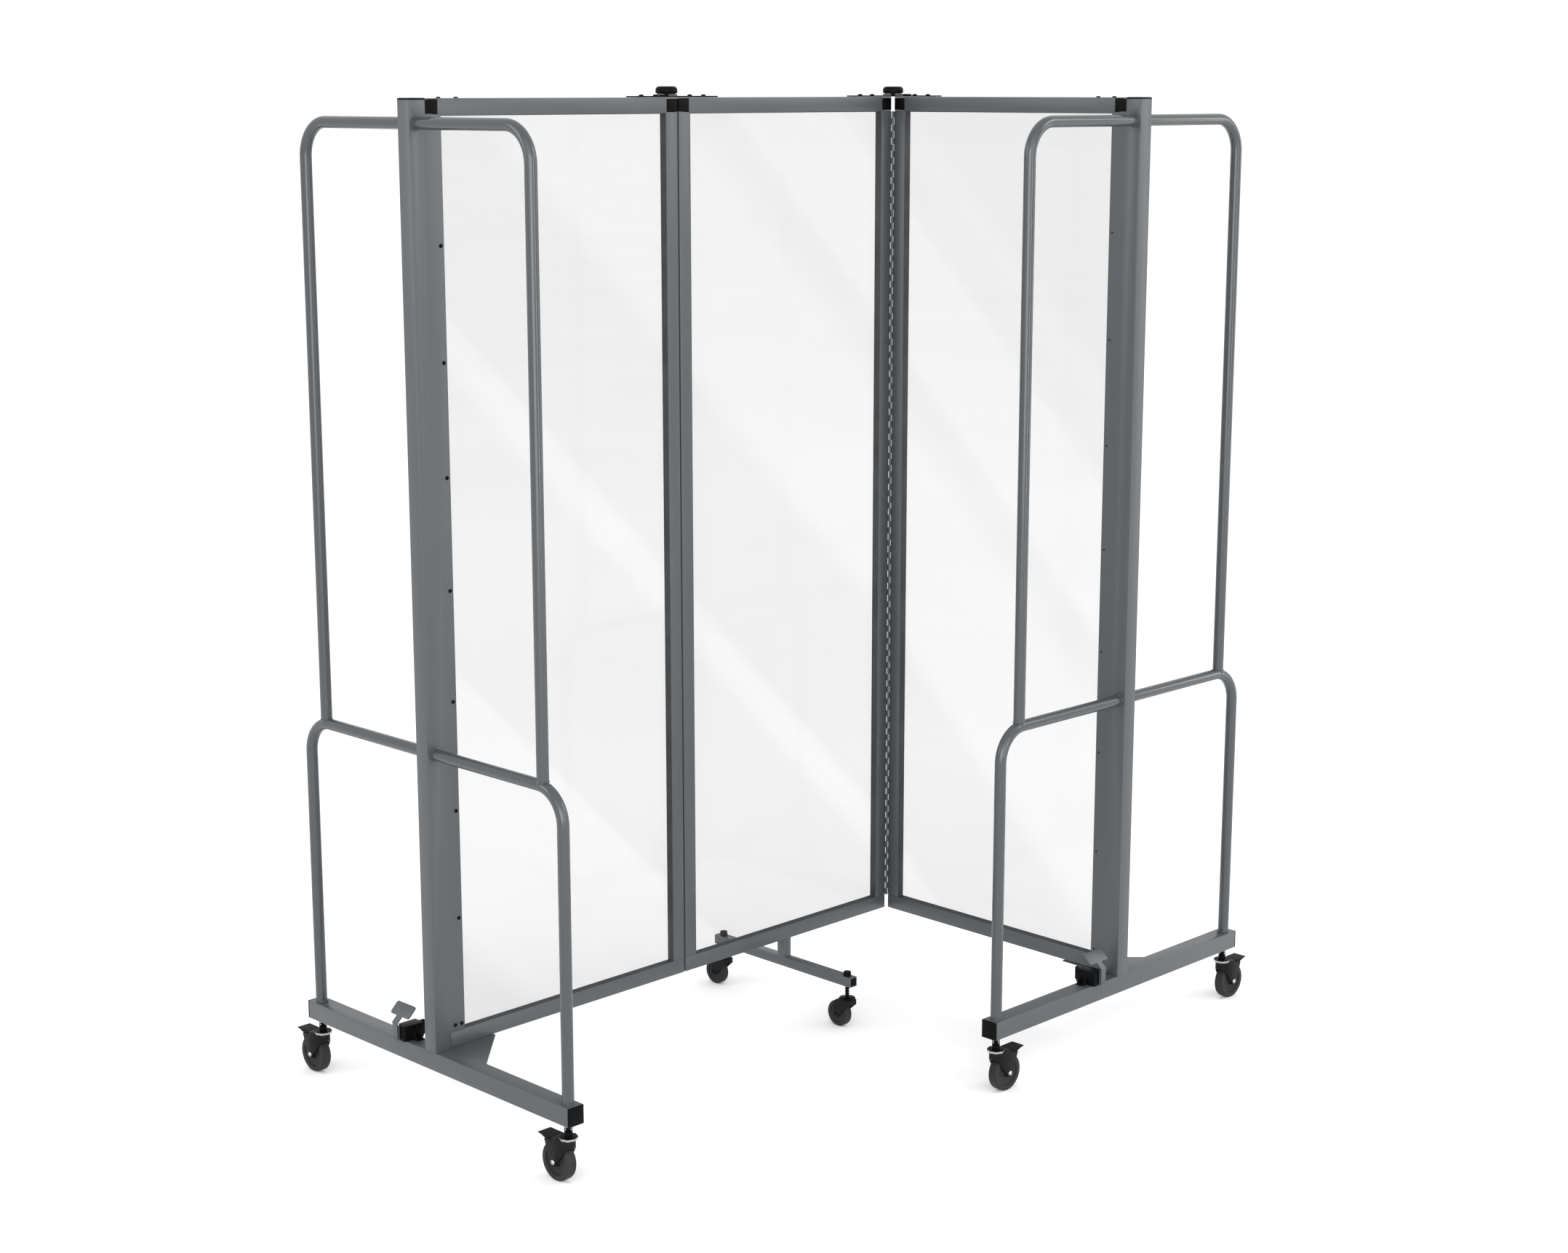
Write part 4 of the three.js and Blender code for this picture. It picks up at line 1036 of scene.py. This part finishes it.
def foot_hood(bm, side):
    """The hood of a foot caster: two cheeks under a short deck, closed at the front.

    Its outlines hold how far a point trails behind the swivel axis, and its height.
    """
    name, swivel, axle = caster_place("middle", side)
    low, high = bench_box("middle", name + "_fork")
    way = math.copysign(1, axle.y - swivel.y)
    trail = abs(axle.y - swivel.y)
    wall, boss, inset, crown = 0.0024, 0.0060, 0.0005, high.z
    front, shoulder, back = -0.0135, 0.0150, 0.0240
    deck, brow, lip = crown - 0.0050, crown - 0.0110, crown - 0.0010
    sides = [(front, brow), (front, lip), (front + 0.0020, crown), (shoulder, crown)]
    sides += [(back - 0.0020, deck), (back, deck - 0.0025), (back + 0.0016, axle.z)]
    sides += [(trail + x, axle.z + z) for x, z in arc((0, 0), boss, 0, -150, 8)]
    cheek = [(max(y, front + inset), min(z, crown - inset)) for y, z in sides]
    top = [(front + wall, deck - 0.0004), (front + wall, brow), (front, brow)]
    top += [(front, lip), (front + 0.0010, crown), (shoulder, crown)]
    top += [(back - 0.0020, deck + inset), (back + inset, deck - 0.0020)]
    top += [(back + inset, deck - 0.0040), (back - 0.0016, deck - 0.0030)]
    for outline, x, thick in (
        (cheek, low.x + inset, wall),
        (cheek, high.x - wall - inset, wall),
        (top, low.x, high.x - low.x),
    ):
        slab(bm, [(x, swivel.y + way * y, z) for y, z in outline], (thick, 0, 0))


def build_fork(panel, side):
    """A fork's hood, with the bolt heads of its axle."""
    name, _swivel, axle = caster_place(panel, side)
    node = name + "_fork"
    small = panel == "middle"
    bm = bmesh.new()
    if small:
        foot_hood(bm, side)
    else:
        machined_copy(bm, node, 0.0007, sharp=32, bench=panel)
    finish_piece(bm, name + "_hood", node, ["hood"], bench=panel, replaces=[node], smooth_angle=34)
    low, high = bench_box(panel, node)
    radius, finish = (0.0028, "black") if small else (0.0046, "steel")
    bm = bmesh.new()
    for x, way in ((low.x, -1), (high.x, 1)):
        screw_head(bm, facing((way, 0, 0), (x, axle.y, axle.z)), radius, 24)
    finish_piece(bm, name + "_axle_bolt", node, [finish], bench=panel)


def build_foot_stem(side):
    """The threaded stem of a foot caster, with the disc under it and the nut over the tube."""
    name, swivel, _wheel = caster_place("middle", side)
    node = name + "_stem"
    low, high = bench_box("middle", node)
    foot_low, foot_high = bench_box("middle", "middle_foot")
    at = Matrix.Translation((swivel.x, swivel.y, 0))
    top, disc = swivel.z, (high.x - low.x) / 2
    foot = bench_box("middle", name + "_fork")[1].z + 0.0038
    core, ridge, count = 0.0031, 0.0046, 5
    pitch, sunk = (top - foot) / count, 0.001
    rings = ((core, 0.32), (ridge, 0.14), (ridge, -0.14), (core, -0.32))
    profile = [(0, top + sunk), (core, top + sunk)]
    for index in range(count):
        z = top - pitch * (index + 0.5)
        profile += [(radius, z + pitch * share) for radius, share in rings]
    profile += [(core, foot + 0.0012), (core + 0.0014, foot), (disc - 0.0030, foot)]
    profile += [(disc, foot - 0.0010), (disc, foot - 0.0030)]
    profile += [(disc - 0.0010, foot - 0.0035), (0, foot - 0.0035)]
    bm = bmesh.new()
    turned(bm, profile, 40, at)
    radius, nut_top = 0.0075, high.z - 0.0010
    edge = radius * 0.24
    nut_foot = foot_low.z + foot_high.x - foot_low.x
    nut = [(0, nut_top + 0.0003), (radius * 0.4, nut_top + 0.0002)]
    nut += reversed(arc((radius - edge, nut_top - edge), edge, 0, 84, 5))
    turned(bm, [*nut, (radius, nut_foot), (0, nut_foot)], 32, at)
    finish_piece(bm, name + "_threaded_stem", "middle_panel", ["black"],
                 bench="middle", replaces=[node], smooth_angle=44)


def build_end_stem(panel, side):
    """The stem over an end caster: a core in wire rings, a sleeve, an octagonal plate and a nut."""
    name, swivel, _wheel = caster_place(panel, side)
    at = Matrix.Translation((swivel.x, swivel.y, 0))
    top, sunk = swivel.z, 0.001
    nut_low = bench_box(panel, name + "_fork")[1].z + 0.0003
    nut_top = nut_low + 0.0042
    core, wire, ring, count, pitch = 0.0040, 0.0008, 0.0066, 4, 0.0040
    sleeve, edge, sleeve_foot, sleeve_top = 0.00715, 0.0006, nut_top + 0.0012, nut_top + 0.0098
    profile = [(0, top + sunk), (core, top + sunk), (core, sleeve_top)]
    profile += [(sleeve - edge, sleeve_top), (sleeve, sleeve_top - edge)]
    profile += [(sleeve, sleeve_foot), (0, sleeve_foot)]
    bm = bmesh.new()
    turned(bm, profile, 40, at)
    for index in range(count):
        z = top - wire - edge - index * pitch
        bead(bm, at @ Matrix.Translation((0, 0, z)), ring, wire, 40, 10)
        for way in (-1, 1):
            xs = sorted((0, way * ring))
            block(bm, (swivel.x + xs[0], swivel.y - wire / 2, z - wire / 2),
                  (swivel.x + xs[1], swivel.y + wire / 2, z + wire / 2))
    wide = 0.0165
    plate = [(0, nut_top + 0.0018), (0.0110, nut_top + 0.0017), (wide, nut_top + 0.0011)]
    turned(bm, [*plate, (wide, nut_top), (0, nut_top)], 8, at)
    finish_piece(bm, name + "_ribbed_stem", panel + "_panel", ["black"],
                 bench=panel, replaces=[name + "_stem"], smooth_angle=30)
    waist, flange = 0.0158, 0.0163
    bm = bmesh.new()
    nut = [(0, nut_top), (waist, nut_top), (flange, nut_top - 0.0005), (flange, nut_top - 0.0011)]
    nut += [(waist, nut_top - 0.0014), (waist, nut_low + 0.0014), (flange, nut_low + 0.0011)]
    nut += [(flange, nut_low + 0.0005), (waist, nut_low), (0, nut_low)]
    turned(bm, nut, 8, at)
    finish_piece(bm, name + "_swivel_nut", panel + "_panel", ["steel"],
                 bench=panel, smooth_angle=20)


def build_lever(panel, side):
    """The brake lever: fine ridges along its top, and skirts that close the gap over the cheeks."""
    name = f"{panel}_{side}_caster"
    node = name + "_brake_lever"
    bm = bmesh.new()
    machined_copy(bm, node, 0.0004, bench=panel)
    low, high = bench_box(panel, node)
    middle, half = (low.x + high.x) / 2, (high.x - low.x) / 2
    count, ends, rise = 9, 0.0016, 0.0004
    pitch = 2 * half / (count + 0.6)
    width = pitch * 0.28
    for index in range(count):
        x = middle + (index - (count - 1) / 2) * pitch
        rounded_block(bm, (x - width, low.y + ends, high.z - rise),
                      (x + width, high.y - ends, high.z + rise), 0.0003, 1)
    hood_back = bench_box(panel, name + "_fork")[1].y
    inner, thick, drop = half - 0.0024, 0.0009, 0.0080
    for way in (-1, 1):
        xs = sorted((middle + way * inner, middle + way * (inner - thick)))
        rounded_block(bm, (xs[0], low.y + 0.0006, high.z - drop),
                      (xs[1], hood_back + 0.0020, high.z - 0.001), 0.0002, 1)
    finish_piece(bm, name + "_brake_pad", name + "_brake", ["hood"], bench=panel, replaces=[node])


class SCREEN_OT_casters(bpy.types.Operator):
    """Make the casters: stems, forks, wheels and brake levers"""

    bl_idname = "screen.casters"
    bl_label = "Casters"

    def execute(self, context):
        for panel in PANELS:
            for side in SIDES:
                build_wheel(panel, side)
                build_fork(panel, side)
                if panel == "middle":
                    build_foot_stem(side)
                else:
                    build_end_stem(panel, side)
                    build_lever(panel, side)
        return {"FINISHED"}


# Stage


# Each lamp's name, place, aim, width and height, and power in watts
STUDIO_LIGHTS = (
    ("key_box", (4.2, -4.6, 4.4), (0, 0, 0.9), (2.6, 2.6), 90),
    ("left_box", (-5.2, 2.6, 3.2), (0, 0, 0.9), (2.2, 2.8), 60),
    ("front_strip", (0.7, -7.0, 1.6), (0, 0, 1.2), (0.28, 4.2), 95),
    ("fill_box", (-4.6, -4.6, 1.8), (0.2, 0, 0.9), (4.0, 3.4), 150),
    ("right_strip", (6.4, -4.2, 1.6), (0, 0, 1.2), (0.5, 4.2), 50),
)
FLOOR_REACH = 60
FLOOR_TONES = (0.89, 0.91)
BRIGHT_PATCH = (-0.70, -0.70, 0.12)
CAMERA_LENS = 59.139
CAMERA_FROM_CORNER = (-3.7771, -3.4672, 0.0150)
CAMERA_PITCH = 11.791
CAMERA_HEADING = 45.108


def studio_world():
    """White all round, a little less at the horizon, and twice as bright behind the camera."""
    world = bpy.data.worlds.new("studio")
    world.use_nodes = True
    nodes, links = world.node_tree.nodes, world.node_tree.links
    place = nodes.new("ShaderNodeTexCoord")
    toward = nodes.new("ShaderNodeVectorMath")
    toward.operation = "DOT_PRODUCT"
    toward.inputs[1].default_value = BRIGHT_PATCH
    links.new(place.outputs["Generated"], toward.inputs[0])
    patch = spread(world, toward.outputs["Value"], 1.0, 2.0, 0.62, 0.90, "SMOOTHSTEP")
    height = nodes.new("ShaderNodeSeparateXYZ")
    links.new(place.outputs["Generated"], height.inputs[0])
    lift = spread(world, height.outputs["Z"], 1.12, 1.15, 0.0, 0.35)
    both = nodes.new("ShaderNodeMath")
    both.operation = "MULTIPLY"
    links.new(patch, both.inputs[0])
    links.new(lift, both.inputs[1])
    back = nodes["Background"]
    back.inputs["Color"].default_value = (1, 1, 1, 1)
    links.new(both.outputs["Value"], back.inputs["Strength"])
    return world


def build_floor():
    """The pale floor, from under the screen to the horizon."""
    material, shader, place = new_material("pale_floor")
    tone = pattern(material, place, 0.6)
    pale = tinted(material, tone, *[(level,) * 3 for level in FLOOR_TONES])
    material.node_tree.links.new(pale, shader.inputs["Base Color"])
    shader.inputs["Roughness"].default_value = 0.9
    shader.inputs["Specular IOR Level"].default_value = 0.1
    bm = bmesh.new()
    bmesh.ops.create_grid(bm, x_segments=1, y_segments=1, size=FLOOR_REACH)
    mesh = bpy.data.meshes.new("floor")
    bm.to_mesh(mesh)
    bm.free()
    mesh.materials.append(material)
    floor = bpy.data.objects.new("floor", mesh)
    bpy.context.scene.collection.objects.link(floor)


def build_lamp(name, place, aim, size, power):
    """A rectangular soft box, aimed at a point."""
    light = bpy.data.lights.new(name, "AREA")
    light.shape = "RECTANGLE"
    light.size, light.size_y = size
    light.energy = power
    lamp = bpy.data.objects.new(name, light)
    bpy.context.scene.collection.objects.link(lamp)
    turn = (Vector(aim) - Vector(place)).to_track_quat("-Z", "Y").to_matrix().to_4x4()
    lamp.matrix_world = Matrix.Translation(place) @ turn


def build_camera():
    """The camera of the photo, placed from the top of the corner between the two walls."""
    camera = bpy.data.cameras.new("camera")
    camera.lens = CAMERA_LENS
    camera.sensor_width = 36
    eye = bpy.data.objects.new("camera", camera)
    bpy.context.scene.collection.objects.link(eye)
    low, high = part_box("middle_panel_frame")
    eye.location = Vector((high.x, low.y, high.z)) + Vector(CAMERA_FROM_CORNER)
    eye.rotation_euler = (math.radians(90 - CAMERA_PITCH), 0, math.radians(-CAMERA_HEADING))
    bpy.context.scene.camera = eye


class SCREEN_OT_stage(bpy.types.Operator):
    """Make the pale floor, the studio light and the camera"""

    bl_idname = "screen.stage"
    bl_label = "Stage"

    def execute(self, context):
        context.scene.view_settings.view_transform = "Standard"
        build_floor()
        context.scene.world = studio_world()
        for lamp in STUDIO_LIGHTS:
            build_lamp(*lamp)
        build_camera()
        return {"FINISHED"}


class SCREEN_PT_panel(bpy.types.Panel):
    """The screen's pieces in the 3D view's sidebar"""

    bl_label = "Folding screen"
    bl_idname = "SCREEN_PT_panel"
    bl_space_type = "VIEW_3D"
    bl_region_type = "UI"
    bl_category = "Screen"

    def draw(self, context):
        for operator in OPERATORS:
            self.layout.operator(operator.bl_idname)


OPERATORS = (
    SCREEN_OT_stage,
    SCREEN_OT_frames,
    SCREEN_OT_hinges,
    SCREEN_OT_end_frames,
    SCREEN_OT_latches,
    SCREEN_OT_foot,
    SCREEN_OT_casters,
)
CLASSES = (ScreenFinish, ScreenSizes, *OPERATORS, SCREEN_PT_panel)


def register():
    """Add the settings, the operators and the sidebar panel."""
    for cls in CLASSES:
        bpy.utils.register_class(cls)
    bpy.types.Scene.screen_finish = PointerProperty(type=ScreenFinish)
    bpy.types.Scene.screen_sizes = PointerProperty(type=ScreenSizes)


def unregister():
    """Take out what register added."""
    del bpy.types.Scene.screen_sizes
    del bpy.types.Scene.screen_finish
    for cls in reversed(CLASSES):
        bpy.utils.unregister_class(cls)


def main():
    """Make the stage and all the pieces."""
    register()
    bpy.ops.screen.stage()
    bpy.ops.screen.frames()
    bpy.ops.screen.hinges()
    bpy.ops.screen.end_frames()
    bpy.ops.screen.latches()
    bpy.ops.screen.foot()
    bpy.ops.screen.casters()


if __name__ == "__main__":
    main()
